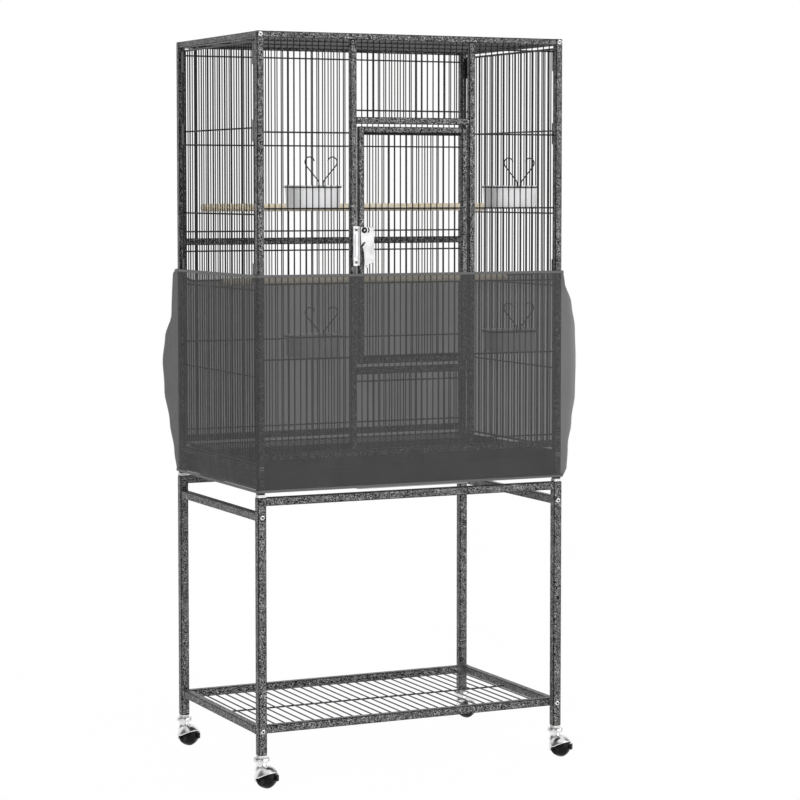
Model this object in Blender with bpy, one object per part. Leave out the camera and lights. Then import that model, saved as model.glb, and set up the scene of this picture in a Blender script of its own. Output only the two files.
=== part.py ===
"""Bird cage on a wheeled stand.

Units are metres, +Z is up, +X is the cage's right and -Y its front.
The origin is on the floor, under the middle of the cage.
Each sub-part is one closed solid in its own named object. Touching pieces keep GAP to each other.
"""
import math

import bmesh
import bpy
from mathutils import Matrix, Vector

GAP = 0.0003

# Overall sizes
HEIGHT = 1.365
POST_X = 0.3035
POST_Y = 0.1985

# Stand
STAND_TUBE = 0.015
STAND_BOTTOM = 0.0583
STAND_TOP = 0.5285
STAND_RAIL = 0.0155
SIDE_RAIL = 0.014
SIDE_RAIL_Z = (0.485, 0.500)
SHELF_TUBE = 0.015
SHELF_TOP = 0.110
SHELF_WIRES = 29

# Cage frame
CAGE_TUBE = 0.012
CAGE_BOTTOM = 0.5334
RAIL_BOTTOM_Z = (0.5945, 0.607)
SIDE_BOTTOM_Z = (0.574, 0.587)
MULLION_X = (0.1145, 0.1268)
LINTEL_Z = (1.2015, 1.214)
SILL_Z = (0.745, 0.758)
BACK_MID_Z = (0.975, 0.988)

# Wires, as square bars of this half-width
WIRE = 0.0010
WIRE_STEP = 0.0024
ANCHOR = 0.003
BAY_BARS = 13
MIDDLE_BARS = 18
BACK_BARS = 48
TOP_BARS = 48
SIDE_BARS = 30
BAY_WIRES_Z = (1.3415, 1.185, 1.048, 0.912, 0.776, 0.618)
LINTEL_WIRES_Z = (1.3415, 1.226)
SILL_WIRES_Z = (0.732, 0.618)
BACK_WIRES_Z = (1.339, 1.168, 1.001, 0.963, 0.789, 0.618)
SIDE_WIRES_Z = (1.193, 1.0375, 0.901, 0.7445)

# Side wire panels
PANEL_WIRE = 0.004
PANEL_DEPTH = 0.006
PANEL_Z = (0.592, 1.349)
HOOKS_Z = ((1.275, 1.325), (1.170, 1.205), (0.915, 0.950))

# Door, hinged on its right side
DOOR_X = (-0.1108, 0.111)
DOOR_Z = (0.764, 1.197)
DOOR_TUBE = 0.0115
DOOR_THICK = 0.010
DOOR_BARS = 15
DOOR_WIRES_Z = (1.048, 0.912)
DOOR_END_WIRE = 0.0015
HINGE_X = 0.1055
HINGE_Y = -0.1995
HINGE_PIN = 0.0024
HINGE_PIN_REACH = 0.005

# Latch
KEEPER_X = (-0.1235, -0.1110)
KEEPER_Z = (0.944, 1.0155)
KEEPER_DEPTH = 0.0036
KEEPER_SHEET = 0.0015
LEVER_PIVOT = (-0.103, 1.0085)
LEVER_BOTTOM = 0.934
LEVER_SHEET = 0.0016
LEVER_STANDOFF = 0.0045
LEVER_SCREW = 0.0032

# Tray and grate
RUNNER_BOTTOM = 0.5385
RUNNER_TOP = 0.5858
RUNNER_SHEET = 0.0015
TRAY_X = 0.2945
TRAY_FRONT_X = 0.2965
TRAY_Z = (0.5403, 0.578)
TRAY_WALL = 0.0015
TRAY_BACK_Y = 0.190
TRAY_EAR = 0.0014
TRAY_PULL_X = 0.114
TRAY_PULL_PROUD = 0.0010
TRAY_PULL_DROP = 0.0058
TRAY_PULL_DEPTH = 0.012
GRATE_Z = (0.5863, 0.5903)
GRATE_FRAME = 0.004
GRATE_SETBACK = 0.008
GRATE_STRIP_BOTTOM = 0.5785
GRATE_STRIP = 0.0015
GRATE_BARS = 38
KNOB_RADIUS = 0.0135
KNOB_DEPTH = 0.0075
KNOB_Z = 0.591
KNOB_STEM_Z = 0.5855
KNOB_STEM = 0.0035

# Net seed catcher
COVER_Z = (0.537, 0.927)
COVER_HUG = 0.0035
COVER_BULGE = 0.0275
COVER_WALL = 0.0008
COVER_CORNER = 0.004

# Feeder cups
CUP_SIZE = (0.100, 0.068, 0.041)
CUP_WALL = 0.0020
CUP_RIM = 0.004
CUP_Y = -0.1555
CUPS = {
    "left_upper": (-0.181, 1.049),
    "right_upper": (0.225, 1.049),
    "left_lower": (-0.181, 0.777),
    "right_lower": (0.225, 0.777),
}
HOLDER_WIRE = 0.0016
# One hook of a cup's holder: (distance from the cup's middle, height over its rim)
HOLDER_HOOK = ((0.0065, 0.0100), (0.0295, 0.0365), (0.0317, 0.0430), (0.0280, 0.0495),
               (0.0215, 0.0515), (0.0145, 0.0465))

# Perches: (y, z)
PERCHES = {"perch_back": (0.099, 1.0465), "perch_front": (0.000, 0.908)}
PERCH_RADIUS = 0.0065
PERCH_END = 0.2997

# Casters
CASTER_TRAIL = 0.015
CASTER_TURN = math.radians(-75)
BALL_RADIUS = 0.0198
BALL_SIDES = 18
BALL_Z = BALL_RADIUS * math.cos(math.pi / BALL_SIDES)
BALL_HALF_WIDTH = 0.015
HOOD_RADIUS = 0.0225
HOOD_INNER = 0.0208
HOOD_CORE = 0.0204
NECK_RADIUS = 0.010
HOOD_TILT = math.radians(-30)
HOOD_REACH = math.radians(86)
COLLAR_RADIUS = 0.0150
COLLAR_Z = (0.0465, 0.0540)
STEM_RADIUS = 0.0045
STEM_DEPTH = 0.030

# Bolts on the posts' front and back faces
BOLT_HEAD = 0.0048
BOLT_HEAD_HEIGHT = 0.0026
BOLT_SHANK = 0.0024
BOLT_LENGTH = 0.009
CAGE_BOLTS_Z = {"top": 1.359, "low": 0.5805}
STAND_BOLTS_Z = {"stand": 0.4925, "shelf": 0.1025}

CORNERS = {
    "front_left": (-1, -1),
    "front_right": (1, -1),
    "back_left": (-1, 1),
    "back_right": (1, 1),
}
SIDES = {"left": -1, "right": 1}

# name: (colour, roughness, metallic)
FINISHES = {
    "hammertone": ((0.045, 0.046, 0.048), 0.45, 0.3),
    "black_wire": ((0.015, 0.015, 0.016), 0.4, 0.2),
    "chrome": ((0.75, 0.76, 0.78), 0.15, 1.0),
    "black_plastic": ((0.012, 0.012, 0.013), 0.35, 0.0),
    "white_nylon": ((0.85, 0.85, 0.84), 0.5, 0.0),
    "pale_plastic": ((0.62, 0.63, 0.64), 0.45, 0.0),
    "tray_black": ((0.02, 0.02, 0.021), 0.5, 0.1),
    "net": ((0.06, 0.06, 0.063), 0.85, 0.0),
    "wood": ((0.62, 0.46, 0.30), 0.6, 0.0),
}


# ---------------------------------------------------------------- helpers

def clear_scene():
    for obj in list(bpy.data.objects):
        bpy.data.objects.remove(obj)


def finish_for(obj, finish):
    """Give obj its own Principled material in the named finish."""
    colour, roughness, metallic = FINISHES[finish]
    material = bpy.data.materials.new(obj.name)
    material.use_nodes = True
    shader = material.node_tree.nodes["Principled BSDF"]
    shader.inputs["Base Color"].default_value = (*colour, 1.0)
    shader.inputs["Roughness"].default_value = roughness
    shader.inputs["Metallic"].default_value = metallic
    obj.data.materials.append(material)


def add_object(name, bm, finish=None):
    """Turn a bmesh into an object in the scene."""
    bmesh.ops.recalc_face_normals(bm, faces=bm.faces)
    mesh = bpy.data.meshes.new(name)
    bm.to_mesh(mesh)
    bm.free()
    obj = bpy.data.objects.new(name, mesh)
    bpy.context.scene.collection.objects.link(obj)
    if finish:
        finish_for(obj, finish)
    return obj


def add_empty(name, place):
    """An empty at place, which carries the pieces that turn or slide there."""
    empty = bpy.data.objects.new(name, None)
    empty.location = place
    bpy.context.scene.collection.objects.link(empty)
    return empty


def hang_on(empty, *pieces):
    """Parent pieces to the empty and keep them where they are."""
    for piece in pieces:
        piece.parent = empty
        piece.matrix_parent_inverse = Matrix.Translation(-Vector(empty.location))


def join(obj, tool_bm, operation, overlapping=False):
    """Boolean the bmesh tool_bm into obj, as a modifier with a hidden tool object.

    overlapping says that the tool's own boxes cut into each other.
    """
    tool = add_object(f"{obj.name}_{operation.lower()}_{len(obj.modifiers)}", tool_bm)
    tool.hide_render = True
    tool.display_type = "WIRE"
    modifier = obj.modifiers.new(operation.title(), "BOOLEAN")
    modifier.operation = operation
    modifier.solver = "EXACT"
    modifier.object = tool
    modifier.use_self = overlapping


def smooth(obj):
    """Shade a round piece smooth, with sharp edges kept."""
    obj.data.shade_smooth()
    obj.data.set_sharp_from_angle(angle=math.radians(40))


def add_box(bm, low, high):
    """A closed box between two corners."""
    middle = (Vector(low) + Vector(high)) / 2
    size = Vector(high) - Vector(low)
    matrix = Matrix.Translation(middle) @ Matrix.Diagonal((*size, 1.0))
    bmesh.ops.create_cube(bm, size=1.0, matrix=matrix)


def boxes(*corner_pairs):
    """A bmesh of closed boxes."""
    bm = bmesh.new()
    for low, high in corner_pairs:
        add_box(bm, low, high)
    return bm


def add_bar(bm, middle, axis, half_length, half_width=WIRE):
    """A square bar along the row axis 0, 1 or 2."""
    reach = Vector((half_width,) * 3)
    reach[axis] = half_length
    add_box(bm, Vector(middle) - reach, Vector(middle) + reach)


def add_rod(bm, start, end, radius, sides, end_radius=None):
    """A round rod, or a cone, between two points."""
    start = Vector(start)
    run = Vector(end) - start
    turn = run.to_track_quat("Z", "Y").to_matrix().to_4x4()
    bmesh.ops.create_cone(
        bm, cap_ends=True, cap_tris=False, segments=sides,
        radius1=radius, radius2=radius if end_radius is None else end_radius, depth=run.length,
        matrix=Matrix.Translation(start + run / 2) @ turn)


def spaced(low, high, count):
    """Places of count equal-spaced bars between two edges."""
    step = (high - low) / (count + 1)
    return [low + step * (index + 1) for index in range(count)]


def add_tube_ring(bm, path, radius, sides=4, closed=True):
    """A wire that follows a path of points, closed on itself or capped at its ends."""
    count = len(path)
    rings = []
    across = None
    for index, point in enumerate(path):
        before = path[index - 1] if closed or index > 0 else point
        after = path[(index + 1) % count] if closed or index < count - 1 else point
        ahead = (Vector(after) - Vector(before)).normalized()
        if across is None:
            across = ahead.cross(Vector((0, 0, 1)))
        across = (across - ahead * across.dot(ahead)).normalized()
        up = across.cross(ahead)
        ring = []
        for side in range(sides):
            angle = math.tau * (side + 0.5) / sides
            offset = across * math.cos(angle) + up * math.sin(angle)
            ring.append(bm.verts.new(Vector(point) + offset * radius))
        rings.append(ring)
    spans = count if closed else count - 1
    for index in range(spans):
        ring, following = rings[index], rings[(index + 1) % count]
        for side in range(sides):
            far = (side + 1) % sides
            bm.faces.new((ring[side], ring[far], following[far], following[side]))
    if not closed:
        bm.faces.new(rings[0])
        bm.faces.new(list(reversed(rings[-1])))


def rounded_outline(half_x, half_y, corner, steps):
    """Points of a rectangle with rounded corners, anticlockwise."""
    points = []
    centres = ((1, 1), (-1, 1), (-1, -1), (1, -1))
    for quarter, (sign_x, sign_y) in enumerate(centres):
        for step in range(steps + 1):
            angle = math.pi / 2 * (quarter + step / steps)
            x = sign_x * (half_x - corner) + corner * math.cos(angle)
            y = sign_y * (half_y - corner) + corner * math.sin(angle)
            points.append((x, y))
    return points


def add_shell(bm, sections):
    """A closed skin through rings of equal length, each a list of points, capped at both ends."""
    rings = [[bm.verts.new(point) for point in section] for section in sections]
    count = len(rings[0])
    for ring, following in zip(rings, rings[1:]):
        for index in range(count):
            far = (index + 1) % count
            bm.faces.new((ring[index], ring[far], following[far], following[index]))
    return rings


# ---------------------------------------------------------------- stand

def bolt_holes(sign_y, face_y, heights):
    """Cutters for the holes of the bolts that enter the posts from one face."""
    bm = bmesh.new()
    for sign_x in SIDES.values():
        for z in heights:
            outside = (sign_x * POST_X, sign_y * (face_y + 0.001), z)
            inside = (sign_x * POST_X, sign_y * (face_y - BOLT_LENGTH - GAP), z)
            add_rod(bm, outside, inside, BOLT_SHANK + GAP, 8)
    return bm


def make_stand_frame(name, sign_y):
    """Two posts with a rail between their tops: one weldment."""
    half = STAND_TUBE / 2
    outer_x = POST_X + half
    inner_x = POST_X - half
    y_low, y_high = sorted((sign_y * (POST_Y - half), sign_y * (POST_Y + half)))
    slab = boxes(((-outer_x, y_low, STAND_BOTTOM), (outer_x, y_high, STAND_TOP)))
    frame = add_object(name, slab, "hammertone")
    reach = 0.01
    opening = ((-inner_x, y_low - reach, STAND_BOTTOM - reach),
               (inner_x, y_high + reach, STAND_TOP - STAND_RAIL))
    join(frame, boxes(opening), "DIFFERENCE")
    holes = bolt_holes(sign_y, POST_Y + half, STAND_BOLTS_Z.values())
    for sign_x in SIDES.values():
        base = (sign_x * POST_X, sign_y * POST_Y, STAND_BOTTOM - 0.001)
        top = (sign_x * POST_X, sign_y * POST_Y, STAND_BOTTOM + STEM_DEPTH)
        add_rod(holes, base, top, STEM_RADIUS + GAP, 12)
    join(frame, holes, "DIFFERENCE")


def make_stand_side_rail(side, sign_x):
    reach = POST_Y - STAND_TUBE / 2 - GAP
    x_low = sign_x * POST_X - SIDE_RAIL / 2
    rail = boxes(((x_low, -reach, SIDE_RAIL_Z[0]), (x_low + SIDE_RAIL, reach, SIDE_RAIL_Z[1])))
    add_object(f"stand_side_rail_{side}", rail, "hammertone")


def make_shelf():
    """A rectangle of tube between the front and back posts, filled with wires."""
    outer_x = POST_X + SHELF_TUBE / 2
    outer_y = POST_Y - STAND_TUBE / 2 - GAP
    inner_x = outer_x - SHELF_TUBE
    inner_y = outer_y - SHELF_TUBE
    bottom = SHELF_TOP - SHELF_TUBE
    reach = 0.01
    shelf = add_object(
        "bottom_shelf",
        boxes(((-outer_x, -outer_y, bottom), (outer_x, outer_y, SHELF_TOP))), "hammertone")
    window = ((-inner_x, -inner_y, bottom - reach), (inner_x, inner_y, SHELF_TOP + reach))
    join(shelf, boxes(window), "DIFFERENCE")
    wires = bmesh.new()
    wire_z = SHELF_TOP - SHELF_TUBE / 2
    for x in spaced(-inner_x, inner_x, SHELF_WIRES):
        add_bar(wires, (x, 0, wire_z), 1, inner_y + ANCHOR, 1.4 * WIRE)
    cross_z = wire_z - 2.8 * WIRE - GAP
    add_bar(wires, (0, 0, cross_z), 0, inner_x + ANCHOR, 1.4 * WIRE)
    join(shelf, wires, "UNION")


def make_post_connectors():
    """The nylon blocks between the stand's posts and the cage's posts."""
    half = STAND_TUBE / 2
    for corner, (sign_x, sign_y) in CORNERS.items():
        x, y = sign_x * POST_X, sign_y * POST_Y
        block = boxes(((x - half, y - half, STAND_TOP + GAP), (x + half, y + half, CAGE_BOTTOM - GAP)))
        obj = add_object(f"post_connector_{corner}", block, "white_nylon")
        bevel = obj.modifiers.new("Bevel", "BEVEL")
        bevel.width = 0.0008
        bevel.segments = 1


# ---------------------------------------------------------------- casters

def hood_profile():
    """Half section of the hood's shell about its own axis, as (radius, height) pairs."""
    steps = 6
    outer = []
    inner = []
    for step in range(steps + 1):
        angle = HOOD_REACH * step / steps
        outer.append((HOOD_RADIUS * math.sin(angle), HOOD_RADIUS * math.cos(angle)))
        inner.append((HOOD_INNER * math.sin(angle), HOOD_INNER * math.cos(angle)))
    return outer + inner[::-1]


def turned(profile, segments):
    """A bmesh turned about +Z from (radius, height) pairs; radius 0 makes a pole."""
    bm = bmesh.new()
    rings = []
    for radius, height in profile:
        if radius < 1e-6:
            rings.append([bm.verts.new((0, 0, height))])
            continue
        ring = []
        for index in range(segments):
            angle = math.tau * index / segments
            ring.append(bm.verts.new((radius * math.cos(angle), radius * math.sin(angle), height)))
        rings.append(ring)
    for ring, following in zip(rings, rings[1:]):
        for index in range(segments):
            far = (index + 1) % segments
            if len(ring) == 1:
                bm.faces.new((ring[0], following[index], following[far]))
            elif len(following) == 1:
                bm.faces.new((ring[index], ring[far], following[0]))
            else:
                bm.faces.new((ring[index], ring[far], following[far], following[index]))
    return bm


def make_caster(corner, sign_x, sign_y):
    """A hooded ball caster: the hood swivels with its stem, the ball wheel rolls in it."""
    post = Vector((sign_x * POST_X, sign_y * POST_Y, 0))
    turn = Matrix.Rotation(CASTER_TURN, 4, "Z")
    trail = turn @ Vector((CASTER_TRAIL, 0, 0))
    ball = post + trail + Vector((0, 0, BALL_Z))

    shell = turned(hood_profile(), 16)
    lean = Matrix.Rotation(HOOD_TILT, 4, "Y")
    bmesh.ops.transform(shell, matrix=Matrix.Translation(ball) @ turn @ lean, verts=shell.verts)
    hood = add_object(f"caster_hood_{corner}", shell, "chrome")
    neck = bmesh.new()
    add_rod(neck, ball - trail + Vector((0, 0, 0.006)), post + Vector((0, 0, COLLAR_Z[0] + 0.001)),
            NECK_RADIUS, 12)
    join(hood, neck, "UNION")
    core = bmesh.new()
    bmesh.ops.create_uvsphere(core, u_segments=16, v_segments=10, radius=HOOD_CORE,
                              matrix=Matrix.Translation(ball))
    join(hood, core, "DIFFERENCE")
    collar = bmesh.new()
    add_rod(collar, post + Vector((0, 0, COLLAR_Z[0])), post + Vector((0, 0, COLLAR_Z[1])),
            COLLAR_RADIUS, 16)
    join(hood, collar, "UNION")
    stem = bmesh.new()
    add_rod(stem, post + Vector((0, 0, COLLAR_Z[1] - 0.001)),
            post + Vector((0, 0, STAND_BOTTOM + STEM_DEPTH - GAP)), STEM_RADIUS, 12)
    join(hood, stem, "UNION")

    steps = 5
    limit = math.asin(BALL_HALF_WIDTH / BALL_RADIUS)
    profile = [(0.0, -BALL_HALF_WIDTH)]
    for step in range(steps + 1):
        angle = -limit + 2 * limit * step / steps
        profile.append((BALL_RADIUS * math.cos(angle), BALL_RADIUS * math.sin(angle)))
    profile.append((0.0, BALL_HALF_WIDTH))
    wheel_bm = turned(profile, BALL_SIDES)
    lay_down = Matrix.Rotation(math.radians(90), 4, "X")
    half_step = Matrix.Rotation(math.pi / BALL_SIDES + math.pi / 2, 4, "Z")
    bmesh.ops.transform(wheel_bm, matrix=Matrix.Translation(ball) @ turn @ lay_down @ half_step,
                        verts=wheel_bm.verts)
    wheel = add_object(f"caster_wheel_{corner}", wheel_bm, "black_plastic")
    smooth(wheel)

    swivel = add_empty(f"caster_swivel_axis_{corner}", post)
    axle = add_empty(f"caster_axle_axis_{corner}", ball)
    hang_on(swivel, hood, axle)
    wheel.parent = axle
    wheel.matrix_parent_inverse = Matrix.Translation(-ball)


# ---------------------------------------------------------------- cage

def window(x, z, y_low, y_high):
    """A cutter box through a panel that stands in the XZ plane."""
    reach = 0.01
    return (x[0], y_low - reach, z[0]), (x[1], y_high + reach, z[1])


def make_front_panel():
    """Posts, rails, mullions, lintel and sill with their bars: one weldment."""
    half = CAGE_TUBE / 2
    outer_x = POST_X + half
    inner_x = POST_X - half
    y_low, y_high = -POST_Y - half, -POST_Y + half
    panel = add_object(
        "front_panel",
        boxes(((-outer_x, y_low, CAGE_BOTTOM), (outer_x, y_high, HEIGHT))), "hammertone")
    rail_top = RAIL_BOTTOM_Z[1]
    head = HEIGHT - CAGE_TUBE
    near, far = MULLION_X
    holes = boxes(
        window((-inner_x, inner_x), (CAGE_BOTTOM - 0.01, RAIL_BOTTOM_Z[0]), y_low, y_high),
        window((-inner_x, -far), (rail_top, head), y_low, y_high),
        window((far, inner_x), (rail_top, head), y_low, y_high),
        window((-near, near), (LINTEL_Z[1], head), y_low, y_high),
        window((-near, near), (SILL_Z[1], LINTEL_Z[0]), y_low, y_high),
        window((-near, near), (rail_top, SILL_Z[0]), y_low, y_high))
    join(panel, holes, "DIFFERENCE")

    wires = bmesh.new()
    y = -POST_Y
    wire_y = y + WIRE_STEP
    for sign_x in SIDES.values():
        middle_z = (rail_top + head) / 2
        for x in spaced(far, inner_x, BAY_BARS):
            add_bar(wires, (sign_x * x, y, middle_z), 2, (head - rail_top) / 2 + ANCHOR)
        for z in BAY_WIRES_Z:
            add_bar(wires, (sign_x * (far + inner_x) / 2, wire_y, z), 0, (inner_x - far) / 2 + ANCHOR)
    for x in spaced(-near, near, MIDDLE_BARS):
        for low, high in ((LINTEL_Z[1], head), (rail_top, SILL_Z[0])):
            add_bar(wires, (x, y, (low + high) / 2), 2, (high - low) / 2 + ANCHOR)
    for z in LINTEL_WIRES_Z + SILL_WIRES_Z:
        add_bar(wires, (0, wire_y, z), 0, near + ANCHOR)
    join(panel, wires, "UNION")

    drilled = bolt_holes(-1, POST_Y + half, CAGE_BOLTS_Z.values())
    for low, high in ((DOOR_Z[1], DOOR_Z[1] + 0.0135), (DOOR_Z[0] - 0.0125, DOOR_Z[0])):
        add_rod(drilled, (HINGE_X, HINGE_Y, low), (HINGE_X, HINGE_Y, high), HINGE_PIN + GAP, 12)
    join(panel, drilled, "DIFFERENCE")


def make_back_panel():
    """Posts, rails and bars at the back, with a middle rail."""
    half = CAGE_TUBE / 2
    outer_x = POST_X + half
    inner_x = POST_X - half
    y_low, y_high = POST_Y - half, POST_Y + half
    panel = add_object(
        "back_panel",
        boxes(((-outer_x, y_low, CAGE_BOTTOM), (outer_x, y_high, HEIGHT))), "hammertone")
    head = HEIGHT - CAGE_TUBE
    bays = ((RAIL_BOTTOM_Z[1], BACK_MID_Z[0]), (BACK_MID_Z[1], head))
    span = (-inner_x, inner_x)
    holes = boxes(
        window(span, (CAGE_BOTTOM - 0.01, RAIL_BOTTOM_Z[0]), y_low, y_high),
        *(window(span, bay, y_low, y_high) for bay in bays))
    join(panel, holes, "DIFFERENCE")
    wires = bmesh.new()
    for x in spaced(-inner_x, inner_x, BACK_BARS):
        for low, high in bays:
            add_bar(wires, (x, POST_Y, (low + high) / 2), 2, (high - low) / 2 + ANCHOR)
    for z in BACK_WIRES_Z:
        add_bar(wires, (0, POST_Y - WIRE_STEP, z), 0, inner_x + ANCHOR)
    join(panel, wires, "UNION")
    join(panel, bolt_holes(1, POST_Y + half, CAGE_BOLTS_Z.values()), "DIFFERENCE")


def make_cage_side_rails(side, sign_x):
    """The tubes that join the front and back panels; the lower one carries the runner."""
    half = CAGE_TUBE / 2
    reach = POST_Y - half - GAP
    x_in, x_out = sign_x * (POST_X - half), sign_x * (POST_X + half)
    x_low, x_high = sorted((x_in, x_out))
    top = boxes(((x_low, -reach, HEIGHT - CAGE_TUBE), (x_high, reach, HEIGHT)))
    add_object(f"cage_top_rail_{side}", top, "hammertone")

    low_rail = add_object(
        f"cage_low_rail_{side}",
        boxes(((x_low, -reach, SIDE_BOTTOM_Z[0]), (x_high, reach, SIDE_BOTTOM_Z[1]))), "hammertone")
    web = sorted((x_in + sign_x * 0.001, x_in - sign_x * RUNNER_SHEET))
    join(low_rail, boxes(((web[0], -reach, RUNNER_BOTTOM), (web[1], reach, RUNNER_TOP))), "UNION")
    ledge = sorted((x_in - sign_x * 0.0005, x_in - sign_x * 0.012))
    low_ledge = ((ledge[0], -reach, RUNNER_BOTTOM), (ledge[1], reach, RUNNER_BOTTOM + RUNNER_SHEET))
    high_ledge = ((ledge[0], -reach, RUNNER_TOP - RUNNER_SHEET), (ledge[1], reach, RUNNER_TOP))
    join(low_rail, boxes(low_ledge, high_ledge), "UNION")


def make_side_panel(side, sign_x):
    """A wire panel that hangs on the posts by hook plates."""
    reach = POST_Y - CAGE_TUBE / 2 - 0.004
    inside = reach - PANEL_WIRE
    x = sign_x * POST_X
    half = PANEL_DEPTH / 2
    low, high = PANEL_Z
    panel = add_object(
        f"side_panel_{side}", boxes(((x - half, -reach, low), (x + half, reach, high))), "black_wire")
    hole = ((x - 0.02, -inside, low + PANEL_WIRE), (x + 0.02, inside, high - PANEL_WIRE))
    join(panel, boxes(hole), "DIFFERENCE")
    wires = bmesh.new()
    middle_z = (low + high) / 2
    for y in spaced(-inside, inside, SIDE_BARS):
        add_bar(wires, (x, y, middle_z), 2, (high - low) / 2 - PANEL_WIRE / 2)
    for z in SIDE_WIRES_Z:
        add_bar(wires, (x - sign_x * WIRE_STEP, 0, z), 1, inside + PANEL_WIRE / 2)
    join(panel, wires, "UNION")
    hooks = bmesh.new()
    outer = POST_Y - CAGE_TUBE / 2 - GAP
    for bottom, top in HOOKS_Z:
        for sign_y in (-1, 1):
            y_low, y_high = sorted((sign_y * (reach - 0.002), sign_y * outer))
            x_low, x_high = sorted((x + sign_x * 0.0015, x + sign_x * 0.0035))
            add_box(hooks, (x_low, y_low, bottom), (x_high, y_high, top))
    join(panel, hooks, "UNION")


def make_top_panel():
    """A wire panel that lies between the four top rails."""
    outer_x = POST_X - CAGE_TUBE / 2 - GAP
    outer_y = POST_Y - CAGE_TUBE / 2 - GAP
    inner_x = outer_x - PANEL_WIRE
    inner_y = outer_y - PANEL_WIRE
    z = HEIGHT - CAGE_TUBE / 2
    half = PANEL_DEPTH / 2
    panel = add_object(
        "top_panel", boxes(((-outer_x, -outer_y, z - half), (outer_x, outer_y, z + half))),
        "black_wire")
    hole = ((-inner_x, -inner_y, z - 0.01), (inner_x, inner_y, z + 0.01))
    join(panel, boxes(hole), "DIFFERENCE")
    wires = bmesh.new()
    for x in spaced(-inner_x, inner_x, TOP_BARS):
        add_bar(wires, (x, 0, z), 1, inner_y + PANEL_WIRE / 2)
    for y in (-inner_y / 3, inner_y / 3):
        add_bar(wires, (0, y, z - WIRE_STEP), 0, inner_x + PANEL_WIRE / 2, WIRE)
    join(panel, wires, "UNION")


# ---------------------------------------------------------------- door and latch

def make_door():
    """The door with its two hinge pins, and the latch lever that hangs on it."""
    y_middle = -POST_Y - CAGE_TUBE / 2 + 0.0005 + DOOR_THICK / 2
    y_low, y_high = y_middle - DOOR_THICK / 2, y_middle + DOOR_THICK / 2
    left, right = DOOR_X
    bottom, top = DOOR_Z
    door = add_object("door", boxes(((left, y_low, bottom), (right, y_high, top))), "hammertone")
    inner_x = (left + DOOR_TUBE, right - DOOR_TUBE)
    inner_z = (bottom + DOOR_TUBE, top - DOOR_TUBE)
    join(door, boxes(window(inner_x, inner_z, y_low, y_high)), "DIFFERENCE")
    wires = bmesh.new()
    middle_z = (inner_z[0] + inner_z[1]) / 2
    for x in spaced(*inner_x, DOOR_BARS):
        add_bar(wires, (x, y_middle, middle_z), 2, (inner_z[1] - inner_z[0]) / 2 + ANCHOR)
    for z in DOOR_WIRES_Z + (inner_z[0] + DOOR_END_WIRE, inner_z[1] - DOOR_END_WIRE):
        middle_x = (inner_x[0] + inner_x[1]) / 2
        add_bar(wires, (middle_x, y_middle + WIRE_STEP, z), 0, (inner_x[1] - inner_x[0]) / 2 + ANCHOR)
    join(door, wires, "UNION")
    pins = bmesh.new()
    lintel_reach = LINTEL_Z[0] + HINGE_PIN_REACH
    sill_reach = SILL_Z[1] - HINGE_PIN_REACH
    add_rod(pins, (HINGE_X, HINGE_Y, top - ANCHOR), (HINGE_X, HINGE_Y, lintel_reach), HINGE_PIN, 12)
    add_rod(pins, (HINGE_X, HINGE_Y, bottom + ANCHOR), (HINGE_X, HINGE_Y, sill_reach), HINGE_PIN, 12)
    join(door, pins, "UNION")
    lever = make_latch_lever(y_low)
    hang_on(add_empty("door_hinge_axis", (HINGE_X, HINGE_Y, bottom)), door, lever.parent)


def make_latch_lever(door_front_y):
    """A hanging plate with a rounded corner and a narrow tail, on a pivot screw at its top."""
    pivot_x, pivot_z = LEVER_PIVOT
    outline = [
        (pivot_x - 0.0072, pivot_z + 0.0055), (-0.0848, pivot_z + 0.0055), (-0.0832, pivot_z + 0.0020),
        (-0.0830, 0.9510), (-0.0845, 0.9465), (-0.0880, 0.9435), (-0.0946, 0.9418), (-0.0962, LEVER_BOTTOM),
        (-0.0998, LEVER_BOTTOM), (-0.1022, 0.9446), (-0.1036, 0.9678), (-0.1053, 0.9752),
        (-0.1071, 0.9779), (-0.1098, 0.9826)]
    plate = bmesh.new()
    back_y = -POST_Y - CAGE_TUBE / 2 - LEVER_STANDOFF
    face = plate.faces.new([plate.verts.new((x, back_y, z)) for x, z in outline])
    extruded = bmesh.ops.extrude_face_region(plate, geom=[face])["geom"]
    moved = [item for item in extruded if isinstance(item, bmesh.types.BMVert)]
    bmesh.ops.translate(plate, vec=(0, -LEVER_SHEET, 0), verts=moved)
    lever = add_object("latch_lever", plate, "chrome")
    screw = bmesh.new()
    add_rod(screw, (pivot_x, door_front_y - GAP, pivot_z), (pivot_x, back_y - 0.0040, pivot_z),
            LEVER_SCREW, 12)
    join(lever, screw, "UNION")
    hang_on(add_empty("latch_pivot_axis", (pivot_x, back_y, pivot_z)), lever)
    return lever


def make_latch_keeper():
    """A channel on the left mullion: a back plate with two flanges."""
    low, high = KEEPER_Z
    left, right = KEEPER_X
    back_y = -POST_Y - CAGE_TUBE / 2 - GAP
    front_y = back_y - KEEPER_DEPTH
    keeper = add_object("latch_keeper", boxes(((left, front_y, low), (right, back_y, high))), "chrome")
    groove = ((left + KEEPER_SHEET, front_y - 0.01, low - 0.01),
              (right - KEEPER_SHEET, back_y - KEEPER_SHEET, high + 0.01))
    join(keeper, boxes(groove), "DIFFERENCE")


# ---------------------------------------------------------------- tray and grate

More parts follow.
